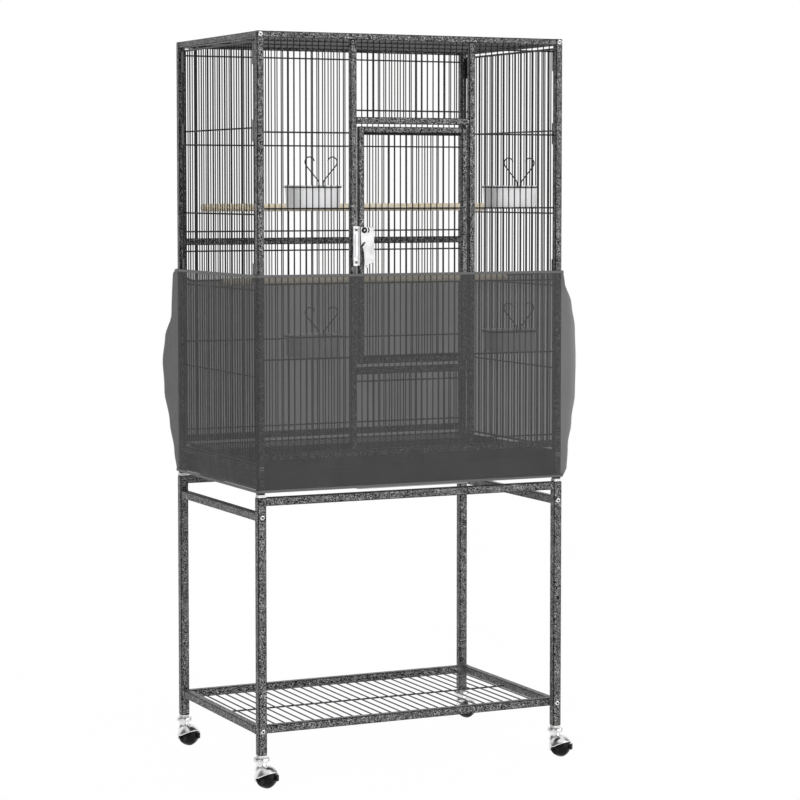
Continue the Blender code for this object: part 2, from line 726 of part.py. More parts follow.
def make_tray():
    """An open tray that slides out to the front, with a pull lip under its front."""
    front = -POST_Y - CAGE_TUBE / 2 + 0.0005
    low, high = TRAY_Z
    tray = add_object(
        "tray", boxes(((-TRAY_X, front, low), (TRAY_X, TRAY_BACK_Y, high))), "tray_black")
    hollow = ((-TRAY_X + TRAY_WALL, front + TRAY_WALL, low + TRAY_WALL),
              (TRAY_X - TRAY_WALL, TRAY_BACK_Y - TRAY_WALL, high + 0.01))
    join(tray, boxes(hollow), "DIFFERENCE")
    ears = bmesh.new()
    for sign_x in SIDES.values():
        x_low, x_high = sorted((sign_x * (TRAY_X - 0.001), sign_x * TRAY_FRONT_X))
        add_box(ears, (x_low, front, low + 0.0007), (x_high, front + TRAY_EAR, high))
    join(tray, ears, "UNION")
    pull = boxes(((-TRAY_PULL_X, front - TRAY_PULL_PROUD, low - TRAY_PULL_DROP),
                  (TRAY_PULL_X, front + TRAY_PULL_DEPTH, low - GAP)))
    lip = add_object("tray_pull", pull, "pale_plastic")
    bevel = lip.modifiers.new("Bevel", "BEVEL")
    bevel.width = 0.0018
    bevel.segments = 2
    hang_on(add_empty("tray_slide_axis", (0, front, low)), tray, lip)


def make_grate():
    """The wire floor on its own runner, with a front strip and a pull knob."""
    strip_y = -POST_Y - CAGE_TUBE / 2 + 0.0005
    low, high = GRATE_Z
    back = TRAY_BACK_Y
    front = strip_y + GRATE_SETBACK
    inner_x = TRAY_X - GRATE_FRAME
    grate = add_object("grate", boxes(((-TRAY_X, front, low), (TRAY_X, back, high))), "black_wire")
    hole = ((-inner_x, front + GRATE_FRAME, low - 0.01), (inner_x, back - GRATE_FRAME, high + 0.01))
    join(grate, boxes(hole), "DIFFERENCE")
    wires = bmesh.new()
    middle_y = (front + back) / 2
    wire_z = (low + high) / 2 + 0.0007
    for x in spaced(-inner_x, inner_x, GRATE_BARS):
        add_bar(wires, (x, middle_y, wire_z), 1, (back - front - GRATE_FRAME) / 2)
    join(grate, wires, "UNION")
    strip = ((-TRAY_FRONT_X, strip_y, GRATE_STRIP_BOTTOM),
             (TRAY_FRONT_X, strip_y + GRATE_STRIP, high - 0.0002))
    shelf = ((-TRAY_X + 0.01, strip_y + 0.001, low + 0.0007),
             (TRAY_X - 0.01, front + 0.001, high - 0.0007))
    join(grate, boxes(strip, shelf), "UNION", overlapping=True)

    knob_bm = bmesh.new()
    face_y = -POST_Y - CAGE_TUBE / 2 - 0.0008
    add_rod(knob_bm, (0, face_y, KNOB_Z), (0, face_y - KNOB_DEPTH, KNOB_Z),
            KNOB_RADIUS, 24, KNOB_RADIUS * 0.9)
    knob = add_object("grate_knob", knob_bm, "black_plastic")
    stem = bmesh.new()
    add_rod(stem, (0, strip_y - GAP, KNOB_STEM_Z), (0, face_y - 0.001, KNOB_STEM_Z), KNOB_STEM, 12)
    join(knob, stem, "UNION")
    smooth(knob)
    hang_on(add_empty("grate_slide_axis", (0, strip_y, low)), grate, knob)


# ---------------------------------------------------------------- soft and small parts

def cover_offset(z):
    """How far the net stands off the cage's faces at height z."""
    share = (z - COVER_Z[0]) / (COVER_Z[1] - COVER_Z[0])
    return COVER_HUG + COVER_BULGE * math.sin(math.pi * share) ** 0.8


def make_mesh_cover():
    """The net seed catcher as a thin barrel-shaped ring around the cage."""
    half = CAGE_TUBE / 2
    steps = 10
    low, high = COVER_Z
    heights = [low + (high - low) * step / steps for step in range(steps + 1)]
    sections = []
    for z in heights:
        offset = cover_offset(min(max(z, low + 1e-6), high - 1e-6))
        outline = rounded_outline(POST_X + half + offset, POST_Y + half + offset,
                                  COVER_CORNER + offset * 0.6, 3)
        sections.append([(x, y, z) for x, y in outline])
    for z in reversed(heights):
        offset = cover_offset(min(max(z, low + 1e-6), high - 1e-6)) - COVER_WALL
        outline = rounded_outline(POST_X + half + offset, POST_Y + half + offset,
                                  COVER_CORNER + offset * 0.6, 3)
        sections.append([(x, y, z) for x, y in outline])
    bm = bmesh.new()
    rings = add_shell(bm, sections)
    first, last = rings[0], rings[-1]
    for index in range(len(first)):
        far = (index + 1) % len(first)
        bm.faces.new((last[index], last[far], first[far], first[index]))
    smooth(add_object("mesh_cover", bm, "net"))


def cup_sections(x, bottom):
    """Outer rings from the base up over the rim, then inner rings down to the floor of the cup."""
    width, depth, height = CUP_SIZE
    top = bottom + height
    body_x, body_y = width / 2 - CUP_RIM, depth / 2 - CUP_RIM
    rings = [
        (body_x * 0.80, body_y * 0.78, bottom),
        (body_x * 0.88, body_y * 0.88, bottom + 0.004),
        (body_x, body_y, top - 0.004),
        (body_x + CUP_RIM, body_y + CUP_RIM, top - 0.004),
        (body_x + CUP_RIM, body_y + CUP_RIM, top),
        (body_x - CUP_WALL, body_y - CUP_WALL, top),
        (body_x * 0.86 - CUP_WALL, body_y * 0.86 - CUP_WALL, bottom + 0.006),
        (body_x * 0.78 - CUP_WALL, body_y * 0.76 - CUP_WALL, bottom + CUP_WALL),
    ]
    for half_x, half_y, z in rings:
        outline = rounded_outline(half_x, half_y, min(half_x, half_y) * 0.55, 3)
        yield [(x + u, CUP_Y + v, z) for u, v in outline]


def make_feeder_cup(name, x, bottom):
    """A plastic cup and the wire holder that hooks it to the front bars."""
    bm = bmesh.new()
    rings = add_shell(bm, list(cup_sections(x, bottom)))
    bm.faces.new(rings[0])
    bm.faces.new(rings[-1])
    cup = add_object(f"feeder_cup_{name}", bm, "white_nylon")
    smooth(cup)
    width, depth, height = CUP_SIZE
    top = bottom + height
    hang_on(add_empty(f"cup_lift_axis_{name}", (x, CUP_Y, top)), cup)

    ring_z = top - 0.004 - GAP - HOLDER_WIRE
    clear = HOLDER_WIRE + GAP
    half_x = width / 2 - CUP_RIM + clear
    half_y = depth / 2 - CUP_RIM + clear
    ring = bmesh.new()
    outline = rounded_outline(half_x, half_y, half_y * 0.55, 3)
    add_tube_ring(ring, [(x + u, CUP_Y + v, ring_z) for u, v in outline], HOLDER_WIRE)
    holder = add_object(f"cup_holder_{name}", ring, "black_wire")
    hooks = bmesh.new()
    back_y = -POST_Y + WIRE_STEP + WIRE + GAP + HOLDER_WIRE
    for sign in (-1, 1):
        foot = x + sign * HOLDER_HOOK[0][0]
        path = [(foot, CUP_Y - half_y + 0.0006, ring_z), (foot, back_y, ring_z)]
        path += [(x + sign * out, back_y, top + rise) for out, rise in HOLDER_HOOK]
        add_tube_ring(hooks, path, HOLDER_WIRE * 0.98, closed=False)
    join(holder, hooks, "UNION")


def make_perch(name, y, z):
    """A round wooden perch between the side panels."""
    bm = bmesh.new()
    add_rod(bm, (-PERCH_END, y, z), (PERCH_END, y, z), PERCH_RADIUS, 16)
    smooth(add_object(name, bm, "wood"))


def make_bolt(name, x, sign_y, face_y, z):
    """A round-head bolt that enters a post along Y."""
    head = turned([
        (0.0, 0.0), (BOLT_HEAD, 0.0), (BOLT_HEAD * 0.9, BOLT_HEAD_HEIGHT * 0.6),
        (BOLT_HEAD * 0.5, BOLT_HEAD_HEIGHT * 0.95), (0.0, BOLT_HEAD_HEIGHT)], 12)
    outward = Vector((0, sign_y, 0)).to_track_quat("Z", "Y").to_matrix().to_4x4()
    place = Matrix.Translation((x, sign_y * (face_y + GAP), z))
    bmesh.ops.transform(head, matrix=place @ outward, verts=head.verts)
    bolt = add_object(name, head, "chrome")
    shank = bmesh.new()
    add_rod(shank, (x, sign_y * (face_y + GAP + 0.0005), z), (x, sign_y * (face_y - BOLT_LENGTH), z),
            BOLT_SHANK, 8)
    join(bolt, shank, "UNION")


def make_bolts():
    for corner, (sign_x, sign_y) in CORNERS.items():
        for heights, half in ((CAGE_BOLTS_Z, CAGE_TUBE / 2), (STAND_BOLTS_Z, STAND_TUBE / 2)):
            for level, z in heights.items():
                make_bolt(f"bolt_{level}_{corner}", sign_x * POST_X, sign_y, POST_Y + half, z)


def main():
    clear_scene()
    make_stand_frame("stand_front_frame", -1)
    make_stand_frame("stand_back_frame", 1)
    make_shelf()
    make_post_connectors()
    for corner, (sign_x, sign_y) in CORNERS.items():
        make_caster(corner, sign_x, sign_y)
    make_front_panel()
    make_back_panel()
    make_top_panel()
    for side, sign_x in SIDES.items():
        make_stand_side_rail(side, sign_x)
        make_cage_side_rails(side, sign_x)
        make_side_panel(side, sign_x)
    make_door()
    make_latch_keeper()
    make_tray()
    make_grate()
    make_mesh_cover()
    for name, (x, bottom) in CUPS.items():
        make_feeder_cup(name, x, bottom)
    for name, (y, z) in PERCHES.items():
        make_perch(name, y, z)
    make_bolts()


main()
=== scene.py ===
"""Looks for the bird cage on its wheeled stand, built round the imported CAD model.

Units are metres in the CAD frame: +Z is up, -Y is the front with the door and +X is the cage's right.
"""
import math

import bmesh
import bpy
from mathutils import Matrix, Vector, noise


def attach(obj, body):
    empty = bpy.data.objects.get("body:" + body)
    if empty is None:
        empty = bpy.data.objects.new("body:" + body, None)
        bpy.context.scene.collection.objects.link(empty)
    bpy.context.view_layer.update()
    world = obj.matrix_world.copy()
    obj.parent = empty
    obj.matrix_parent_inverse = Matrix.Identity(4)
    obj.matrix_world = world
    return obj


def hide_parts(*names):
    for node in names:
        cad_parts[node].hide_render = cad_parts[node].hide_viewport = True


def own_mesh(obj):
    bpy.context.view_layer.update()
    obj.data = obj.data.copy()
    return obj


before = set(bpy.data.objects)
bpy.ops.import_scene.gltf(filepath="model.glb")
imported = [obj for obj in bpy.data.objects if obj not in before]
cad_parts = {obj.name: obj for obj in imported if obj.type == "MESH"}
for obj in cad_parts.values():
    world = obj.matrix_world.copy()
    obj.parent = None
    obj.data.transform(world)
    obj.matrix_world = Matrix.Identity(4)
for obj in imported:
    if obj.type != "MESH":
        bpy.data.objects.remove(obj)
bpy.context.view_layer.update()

# Tubes
POST_X = 0.3035
POST_Y = 0.1985
HEIGHT = 1.365
STAND_TUBE = 0.015
STAND_BOTTOM = 0.0583
STAND_TOP = 0.5285
STAND_RAIL = 0.0155
SIDE_RAIL = 0.014
SIDE_RAIL_Z = (0.485, 0.500)
SHELF_TUBE = 0.015
SHELF_TOP = 0.110
SHELF_WIRES = 29
CAGE_TUBE = 0.012
CAGE_BOTTOM = 0.5334
FRONT_Y = -POST_Y - CAGE_TUBE / 2
RAIL_BOTTOM_Z = (0.5945, 0.607)
SIDE_BOTTOM_Z = (0.574, 0.587)
MULLION_X = (0.1145, 0.1268)
LINTEL_Z = (1.2015, 1.214)
SILL_Z = (0.745, 0.758)
BACK_MID_Z = (0.975, 0.988)
BUTT_INSET = 0.00015
BUTT_LAP = 0.0005
STAND_ROUND = 0.0020
CAGE_ROUND = 0.0018
POST_SWELL = 0.0008

# Wires
WIRE = 0.00115
CROSS_WIRE = 0.00150
WIRE_STEP = 0.0022
THICK_WIRE = 0.0014
WIRE_SIDES = 8
ANCHOR = 0.002
FRAME_WIRE_CORNER = 0.004
BAY_BARS = 13
MIDDLE_BARS = 18
BACK_BARS = 48
TOP_BARS = 48
SIDE_BARS = 30
BAY_WIRES_Z = (1.3415, 1.185, 1.048, 0.912, 0.776, 0.618)
LINTEL_WIRES_Z = (1.3415, 1.226)
SILL_WIRES_Z = (0.732, 0.618)
BACK_WIRES_Z = (1.339, 1.168, 1.001, 0.963, 0.789, 0.618)
SIDE_WIRES_Z = (1.193, 1.0375, 0.901, 0.7445)

# Side wire panels
PANEL_WIRE = 0.004
PANEL_Z = (0.592, 1.349)
PANEL_REACH = POST_Y - CAGE_TUBE / 2 - 0.004
HOOK_REACH = 0.0150
HOOKS_Z = ((1.306, 1.346), (1.168, 1.208), (0.915, 0.950))

# Door and latch
DOOR_X = (-0.1108, 0.111)
DOOR_Z = (0.764, 1.197)
DOOR_TUBE = 0.0115
DOOR_Y = (-0.204, -0.194)
DOOR_BARS = 15
DOOR_WIRES_Z = (1.048, 0.912)
HINGE = (0.1055, -0.1995)
KEEPER_X = (-0.1235, -0.1110)
KEEPER_Z = (0.944, 1.0155)
RIDGE_HALF = 0.0034
RIDGE_RISE = 0.0024
SCREW_INSET = 0.0062
LEVER_PIVOT = (-0.103, 1.0085)
LEVER_HOLE = (-0.0984, 0.9433)
LEVER_Y = (-0.2106, -0.2090)

# Tray and grate
RUNNER_Z = (0.5385, 0.5858)
RUNNER_SHEET = 0.0015
TRAY_X = 0.2945
TRAY_FRONT_X = 0.2965
TRAY_Z = (0.5403, 0.578)
TRAY_Y = (-0.204, 0.190)
TRAY_WALL = 0.0015
PULL_X = 0.114
GRATE_Z = (0.5863, 0.5903)
GRATE_STRIP_BOTTOM = 0.5785
GRATE_BARS = 38
GRATE_WIRE = 0.0016
KNOB_RADIUS = 0.0135
KNOB_Z = 0.591
KNOB_STEM_Z = 0.5855

# Net
NET_Z = (0.537, 0.9295)
NET_SEAM_Z = 0.690
NET_BACK_SAG = 0.022
NET_HUG = 0.0035
NET_CORNER = 0.004
NET_BACK_LEFT = ((0.0, 0.0040), (0.10, 0.0090), (0.24, 0.0178), (0.40, 0.0268), (0.54, 0.0302),
                 (0.66, 0.0262), (0.78, 0.0138), (0.97, 0.0105), (1.0, 0.0045))
NET_RIGHT = ((0.0, 0.0040), (0.04, 0.0118), (0.15, 0.0140), (0.27, 0.0212), (0.40, 0.0275),
             (0.56, 0.0292), (0.72, 0.0274), (0.84, 0.0200), (0.95, 0.0070), (1.0, 0.0040))
NET_FRONT_LEFT = ((0.0, 0.0040), (0.5, 0.0100), (1.0, 0.0040))
NET_CREASES = ((-0.560, 0.10, 0.006, 0.0022), (-0.510, -0.36, 0.007, 0.0026),
               (-0.475, -0.20, 0.006, 0.0020), (-0.400, 0.05, 0.008, 0.0016),
               (-0.330, -0.12, 0.010, 0.0014))
HEM_HEIGHT = 0.005

# Cups and perches
CUP_SIZE = (0.100, 0.068, 0.041)
CUP_WALL = 0.0020
CUP_RIM = 0.004
CUP_Y = -0.1555
# Cup walls as (share of the body's width, height over the base)
CUP_OUTSIDE = ((0.88, 0.0), (0.935, 0.0003), (0.962, 0.0013), (0.974, 0.0033), (0.978, 0.010),
               (0.983, 0.018), (0.988, 0.026), (0.993, 0.033), (0.997, 0.0376))
CUP_INSIDE = ((0.990, 0.033), (0.980, 0.022), (0.968, 0.012), (0.95, 0.0058), (0.91, 0.0030),
              (0.80, 0.0021))
CUPS = {
    "left_upper": (-0.181, 1.049),
    "right_upper": (0.225, 1.049),
    "left_lower": (-0.181, 0.777),
    "right_lower": (0.225, 0.777),
}
HOLDER_WIRE = 0.0011
HOLDER_Y = -0.1932
HOOK_EYE = (0.0225, 0.0420)
HOOK_EYE_RADIUS = 0.0092
PERCHES = {"perch_back": (0.099, 1.0480), "perch_front": (0.000, 0.9095)}
PERCH_RADIUS = 0.0074
PERCH_END = 0.2997

# Casters
CASTER_TRAIL = 0.015
CASTER_TURN = math.radians(-75)
BALL_RADIUS = 0.0195
BALL_Z = 0.0195
BALL_HALF_WIDTH = 0.015
HOOD_RADIUS = 0.0225
HOOD_INNER = 0.0209
HOOD_TILT = math.radians(-30)
HOOD_REACH = math.radians(86)
NECK_RADIUS = 0.010
COLLAR_RADIUS = 0.0150
COLLAR_Z = (0.0465, 0.0540)
NECK_BOTTOM = 0.031
BALL_HUB = 0.0052
BALL_GROOVE = 0.00055

# Studio
FLOOR_REACH = 9.0
FLOOR_GLOW = 0.985
STUDIO_BASE = 0.16
# Panels of light as (direction, full to, gone by, level), in degrees
STUDIO_PANELS = (
    ((0.15, 1.0, 0.10), 50, 80, 0.84),
    ((0.75, -0.85, 0.25), 24, 44, 2.35),
    ((-0.75, -0.70, 0.20), 14, 30, 0.65),
    ((0.0, -0.25, 1.0), 20, 45, 0.8),
)

# Camera
CAMERA_PLACE = (-2.031, -4.417, 1.083)
CAMERA_TURN = (math.pi / 2 - 0.0640, 0, -0.4438)
CAMERA_SENSOR = 36.0
CAMERA_LENS = 114.33
CAMERA_SHIFT = -0.06

# Bolts
BOLT_HEAD = 0.0048
BOLT_HEAD_HEIGHT = 0.0026
CAGE_BOLTS_Z = {"top": 1.359, "low": 0.5805}
STAND_BOLTS_Z = {"stand": 0.4925, "shelf": 0.1025}

CORNERS = {
    "front_left": (-1, -1),
    "front_right": (1, -1),
    "back_left": (-1, 1),
    "back_right": (1, 1),
}
SIDES = {"left": -1, "right": 1}


# ---------------------------------------------------------------- materials

def add_node(tree, kind, settings=None, **inputs):
    """A shader node with its settings and inputs; an input is a value or another node's output."""
    node = tree.nodes.new(f"ShaderNode{kind}")
    for key, value in (settings or {}).items():
        setattr(node, key, value)
    for key, value in inputs.items():
        socket = node.inputs[key.replace("_", " ")]
        if isinstance(value, bpy.types.NodeSocket):
            tree.links.new(value, socket)
        else:
            socket.default_value = value
    return node


def ramp(tree, factor, *stops):
    """A colour ramp through (position, grey or colour) stops."""
    node = add_node(tree, "ValToRGB", Fac=factor)
    elements = node.color_ramp.elements
    while len(elements) < len(stops):
        elements.new(0.5)
    for element, (position, colour) in zip(elements, stops):
        element.position = position
        if isinstance(colour, (int, float)):
            colour = (colour, colour, colour)
        element.color = (*colour, 1.0)
    return node.outputs["Color"]


def grain(tree, where, scale, detail=2.0, roughness=0.5, distortion=0.0):
    """Noise over a place, as a factor."""
    return add_node(tree, "TexNoise", Vector=where, Scale=scale, Detail=detail,
                    Roughness=roughness, Distortion=distortion).outputs["Fac"]


def start_material(name, **sockets):
    """A material with constants on its shader. Returns it, its tree, shader and place output."""
    material = bpy.data.materials.new(name)
    material.use_nodes = True
    tree = material.node_tree
    shader = tree.nodes["Principled BSDF"]
    for key, value in sockets.items():
        shader.inputs[key.replace("_", " ")].default_value = value
    place = add_node(tree, "TexCoord").outputs["Object"]
    return material, tree, shader, place


def set_bump(tree, shader, height, distance, strength):
    bump = add_node(tree, "Bump", Height=height, Distance=distance, Strength=strength)
    tree.links.new(bump.outputs["Normal"], shader.inputs["Normal"])


def connect(tree, shader, **outputs):
    """Links outputs to the shader's inputs of those names."""
    for key, output in outputs.items():
        tree.links.new(output, shader.inputs[key.replace("_", " ")])


def combine(tree, operation, first, second):
    """A Math node's output from two values or outputs."""
    node = add_node(tree, "Math", {"operation": operation})
    for socket, value in zip(node.inputs, (first, second)):
        if isinstance(value, bpy.types.NodeSocket):
            tree.links.new(value, socket)
        else:
            socket.default_value = value
    return node.outputs[0]


def blend(tree, share, first, second):
    """A mix of two factors."""
    return add_node(tree, "Mix", {"data_type": "FLOAT"}, Factor=share, A=first, B=second).outputs["Result"]


def drift(tree, factor, low, high):
    """A ramp over the middle of a noise's range."""
    return ramp(tree, factor, (0.3, low), (0.7, high))


def painted_edge_shade_mask(tree, low, high):
    """A painted-shade mask: white on faces square to the axes and falling to black on the rounded edges
    between them.
    """
    normal = add_node(tree, "TexCoord").outputs["Normal"]
    size = add_node(tree, "VectorMath", {"operation": "ABSOLUTE"}, Vector=normal).outputs["Vector"]
    parts = add_node(tree, "SeparateXYZ", Vector=size)
    largest = parts.outputs[0]
    for other in parts.outputs[1:]:
        largest = combine(tree, "MAXIMUM", largest, other)
    return ramp(tree, largest, (low, 0.0), (high, 1.0))


def multiply(tree, first, second, share=1.0):
    """Two colours multiplied."""
    node = add_node(tree, "Mix", {"data_type": "RGBA", "blend_type": "MULTIPLY"})
    node.inputs["Factor"].default_value = share
    tree.links.new(first, node.inputs[6])
    tree.links.new(second, node.inputs[7])
    return node.outputs[2]


def make_hammertone():
    """Stoved paint: pale squiggles on a dark ground, with painted shade darkening it along the tube's
    edges.
    """
    material, tree, shader, place = start_material("hammertone_paint", Specular_IOR_Level=0.16)
    squiggle = grain(tree, place, 235.0, 1.0, 0.5, 1.6)
    fine = grain(tree, place, 700.0, 2.0, 0.6, 0.4)
    wide = grain(tree, place, 30.0, 2.0, 0.6)
    mixed = blend(tree, 0.10, squiggle, fine)
    veins = ramp(tree, mixed, (0.42, 0.004), (0.470, 0.008), (0.484, 0.60), (0.516, 0.60),
                 (0.530, 0.008), (0.60, 0.025))
    colour = multiply(tree, veins, drift(tree, wide, 0.85, 1.0))
    # Painted shade: the colour falls almost to black on the rounded tube edges, for the dark shadow lines
    # along them.
    edges = ramp(tree, painted_edge_shade_mask(tree, 0.90, 0.992), (0.0, 0.03), (1.0, 1.0))
    connect(tree, shader, Base_Color=multiply(tree, colour, edges),
            Roughness=ramp(tree, mixed, (0.35, 0.32), (0.65, 0.50)))
    set_bump(tree, shader, mixed, 0.0004, 0.5)
    return material


def make_black_wire():
    """Glossy black powder coat with a faint orange peel."""
    material, tree, shader, place = start_material("black_wire_paint", Specular_IOR_Level=0.3)
    peel = grain(tree, place, 700.0, 2.0, 0.6)
    wide = grain(tree, place, 40.0, 2.0)
    connect(tree, shader, Base_Color=drift(tree, wide, 0.008, 0.016),
            Roughness=drift(tree, peel, 0.22, 0.34))
    set_bump(tree, shader, peel, 0.00015, 0.4)
    return material


def make_plated(name, dark, light, smooth, rough):
    """Plated steel with fine rubbed streaks."""
    material, tree, shader, place = start_material(name, Metallic=1.0)
    streak_place = add_node(tree, "Mapping", Vector=place, Scale=(1.0, 1.0, 7.0)).outputs["Vector"]
    streaks = grain(tree, streak_place, 260.0, 3.0, 0.6)
    wide = grain(tree, place, 60.0, 2.0)
    connect(tree, shader,
            Base_Color=drift(tree, wide, (dark, dark, dark * 1.01), (light, light, light * 1.01)),
            Roughness=ramp(tree, streaks, (0.3, smooth), (0.75, rough)))
    set_bump(tree, shader, streaks, 0.00008, 0.25)
    return material


def make_plastic(name, dark, light, roughness, bump, level=0.5, scale=420.0, subsurface=0.0):
    """Moulded plastic: a fine spark-eroded grain and a slow drift of tone."""
    material, tree, shader, place = start_material(
        name, Specular_IOR_Level=level, Subsurface_Weight=subsurface)
    if subsurface:
        shader.inputs["Subsurface Radius"].default_value = (0.004, 0.004, 0.0045)
    texture = grain(tree, place, scale, 3.0, 0.6)
    wide = grain(tree, place, 22.0, 2.0)
    connect(tree, shader, Base_Color=drift(tree, wide, dark, light),
            Roughness=drift(tree, texture, roughness * 0.85, roughness * 1.15))
    set_bump(tree, shader, texture, bump, 0.5)
    return material


def make_wood():
    """A turned dowel with grain along X."""
    material, tree, shader, place = start_material("turned_wood")
    along = add_node(tree, "Mapping", Vector=place, Scale=(0.06, 1.0, 1.0)).outputs["Vector"]
    fibres = grain(tree, along, 900.0, 4.0, 0.6, 0.3)
    bands = grain(tree, along, 160.0, 3.0, 0.5, 0.8)
    base = ramp(tree, bands, (0.3, (0.88, 0.74, 0.52)), (0.55, (0.94, 0.84, 0.66)),
                (0.8, (0.97, 0.91, 0.78)))
    pores = ramp(tree, fibres, (0.35, 0.78), (0.6, 1.0))
    connect(tree, shader, Base_Color=multiply(tree, base, pores, 0.7),
            Roughness=drift(tree, fibres, 0.7, 0.5))
    set_bump(tree, shader, fibres, 0.0003, 0.5)
    return material


def make_net():
    """Nylon netting: crossed threads, less opaque between them, in metres on the UV map."""
    material, tree, shader, place = start_material(
        "nylon_net", Roughness=0.8, Sheen_Weight=0.06, Specular_IOR_Level=0.2)
    where = add_node(tree, "UVMap").outputs["UV"]
    layers = []
    for turn in (math.radians(45), math.radians(-45)):
        turned_place = add_node(tree, "Mapping", Vector=where, Rotation=(0, 0, turn)).outputs["Vector"]
        layers.append(add_node(tree, "TexWave", {"wave_type": "BANDS", "bands_direction": "X"},
                               Vector=turned_place, Scale=330.0, Distortion=0.0).outputs["Fac"])
    thread = combine(tree, "MAXIMUM", *layers)
    wide = grain(tree, place, 14.0, 3.0, 0.6)
    thin = ramp(tree, thread, (0.35, 0.69), (0.8, 0.76))
    alpha = combine(tree, "MULTIPLY", thin, drift(tree, wide, 0.95, 1.0))
    across = add_node(tree, "SeparateXYZ", Vector=place).outputs[0]
    # Less opaque on the right side face, past x 0.312, so the net shows lighter there.
    right_side_alpha = ramp(tree, across, (0.312, 1.0), (0.324, 0.80))
    connect(tree, shader, Alpha=combine(tree, "MULTIPLY", alpha, right_side_alpha),
            Base_Color=drift(tree, wide, 0.060, 0.073))
    set_bump(tree, shader, thread, 0.0002, 0.3)
    return material


def make_hem():
    """Woven elastic tape with ribs along its length."""
    material, tree, shader, place = start_material("elastic_hem", Roughness=0.7, Sheen_Weight=0.2)
    ribs = add_node(tree, "TexWave", {"wave_type": "BANDS", "bands_direction": "Z"},
                    Vector=place, Scale=300.0, Distortion=0.6, Detail=2.0).outputs["Fac"]
    knit = grain(tree, place, 1100.0, 2.0, 0.6)
    mixed = blend(tree, 0.5, ribs, knit)
    connect(tree, shader, Base_Color=drift(tree, mixed, 0.075, 0.135))
    set_bump(tree, shader, mixed, 0.0003, 0.6)
    return material


def make_floor_material():
    """A pale floor that glows as the backdrop does."""
    material, tree, shader, place = start_material(
        "pale_floor", Specular_IOR_Level=0.0, Emission_Strength=FLOOR_GLOW,
        Emission_Color=(1.0, 1.0, 1.0, 1.0))
    wide = grain(tree, place, 1.5, 2.0)
    connect(tree, shader, Base_Color=drift(tree, wide, 0.012, 0.016),
            Roughness=drift(tree, wide, 0.8, 0.9))
    return material


HAMMERTONE = make_hammertone()
BLACK_WIRE = make_black_wire()
CHROME = make_plated("bright_chrome", 0.70, 0.86, 0.10, 0.24)
ZINC = make_plated("bright_zinc", 0.42, 0.56, 0.26, 0.42)
PALE_ZINC = make_plated("pale_zinc", 0.78, 0.90, 0.34, 0.50)
# Black plastic of the casters and knob, also used for the lever's black rings and as painted shade in the
# bolt sockets, screw slots and lever hole.
BLACK_PLASTIC_AND_SHADE = make_plastic("black_plastic", 0.003, 0.005, 0.34, 0.00012, 0.14)
WHITE_NYLON = make_plastic("white_nylon", (0.80, 0.80, 0.79), (0.88, 0.88, 0.87), 0.45, 0.0001)
WHITE_PLASTIC = make_plastic("white_cup_plastic", (0.88, 0.88, 0.89), (0.93, 0.93, 0.94), 0.32, 0.0001,
                             subsurface=0.25)
PALE_PLASTIC = make_plastic("pale_pull_plastic", (0.34, 0.35, 0.36), (0.42, 0.43, 0.44), 0.4, 0.0001)
TRAY_BLACK = make_plastic("tray_enamel", 0.012, 0.020, 0.42, 0.0002, 0.35, scale=260.0)
NET = make_net()
HEM = make_hem()
WOOD = make_wood()


# ---------------------------------------------------------------- mesh helpers

def add_box(bm, low, high):
    """A closed box between two corners."""
    middle = (Vector(low) + Vector(high)) / 2
    size = Vector(high) - Vector(low)
    matrix = Matrix.Translation(middle) @ Matrix.Diagonal((*size, 1.0))
    bmesh.ops.create_cube(bm, size=1.0, matrix=matrix)


def boxes(*corner_pairs):
    bm = bmesh.new()
    for low, high in corner_pairs:
        add_box(bm, low, high)
    return bm


def add_mesh(bm, other):
    """Another bmesh's faces, added to this one."""
    copies = {vert: bm.verts.new(vert.co) for vert in other.verts}
    for face in other.faces:
        bm.faces.new([copies[vert] for vert in face.verts])
    other.free()


def add_wire(bm, path, radius, sides=WIRE_SIDES, closed=False):
    """A round wire through points, with capped ends unless it closes on itself."""
    path = [Vector(point) for point in path]
    count = len(path)
    rings = []
    across = None
    for index, point in enumerate(path):
        before = path[index - 1] if closed or index > 0 else point
        after = path[(index + 1) % count] if closed or index < count - 1 else point
        ahead = (after - before).normalized()
        if across is None:
            guide = Vector((0, 0, 1)) if abs(ahead.z) < 0.9 else Vector((0, 1, 0))
            across = ahead.cross(guide)
        across = (across - ahead * across.dot(ahead)).normalized()
        up = across.cross(ahead)
        ring = []
        for side in range(sides):
            angle = math.tau * side / sides
            offset = across * math.cos(angle) + up * math.sin(angle)
            ring.append(bm.verts.new(point + offset * radius))
        rings.append(ring)
    for index in range(count if closed else count - 1):
        ring, following = rings[index], rings[(index + 1) % count]
        for side in range(sides):
            far = (side + 1) % sides
            bm.faces.new((ring[side], ring[far], following[far], following[side]))
    if not closed:
        bm.faces.new(rings[0])
        bm.faces.new(list(reversed(rings[-1])))


def add_bar(bm, x, y, low, high, radius=WIRE):
    """An upright bar let into the tubes at both ends."""
    add_wire(bm, ((x, y, low - ANCHOR), (x, y, high + ANCHOR)), radius)


def add_cross_bar(bm, low, high, y, z, radius=CROSS_WIRE):
    """A level bar along X let into the tubes at both ends."""
    add_wire(bm, ((low - ANCHOR, y, z), (high + ANCHOR, y, z)), radius)


def add_deep_bar(bm, x, low, high, z, radius=WIRE):
    """A level bar along Y let into the tubes at both ends."""
    add_wire(bm, ((x, low - ANCHOR, z), (x, high + ANCHOR, z)), radius)


def add_frame_wire(bm, half_u, half_v, radius, point):
    """A closed wire round a rectangle with rounded corners; point places its (u, v) in space."""
    loop = [point(u, v) for u, v, _, _ in rounded_outline(half_u, half_v, FRAME_WIRE_CORNER, 4)]
    add_wire(bm, loop, radius, 10, closed=True)


def facing_front(x, y, z):
    """A place whose +Z looks out of the cage's front."""
    return Matrix.Translation((x, y, z)) @ Matrix.Rotation(math.pi / 2, 4, "X")


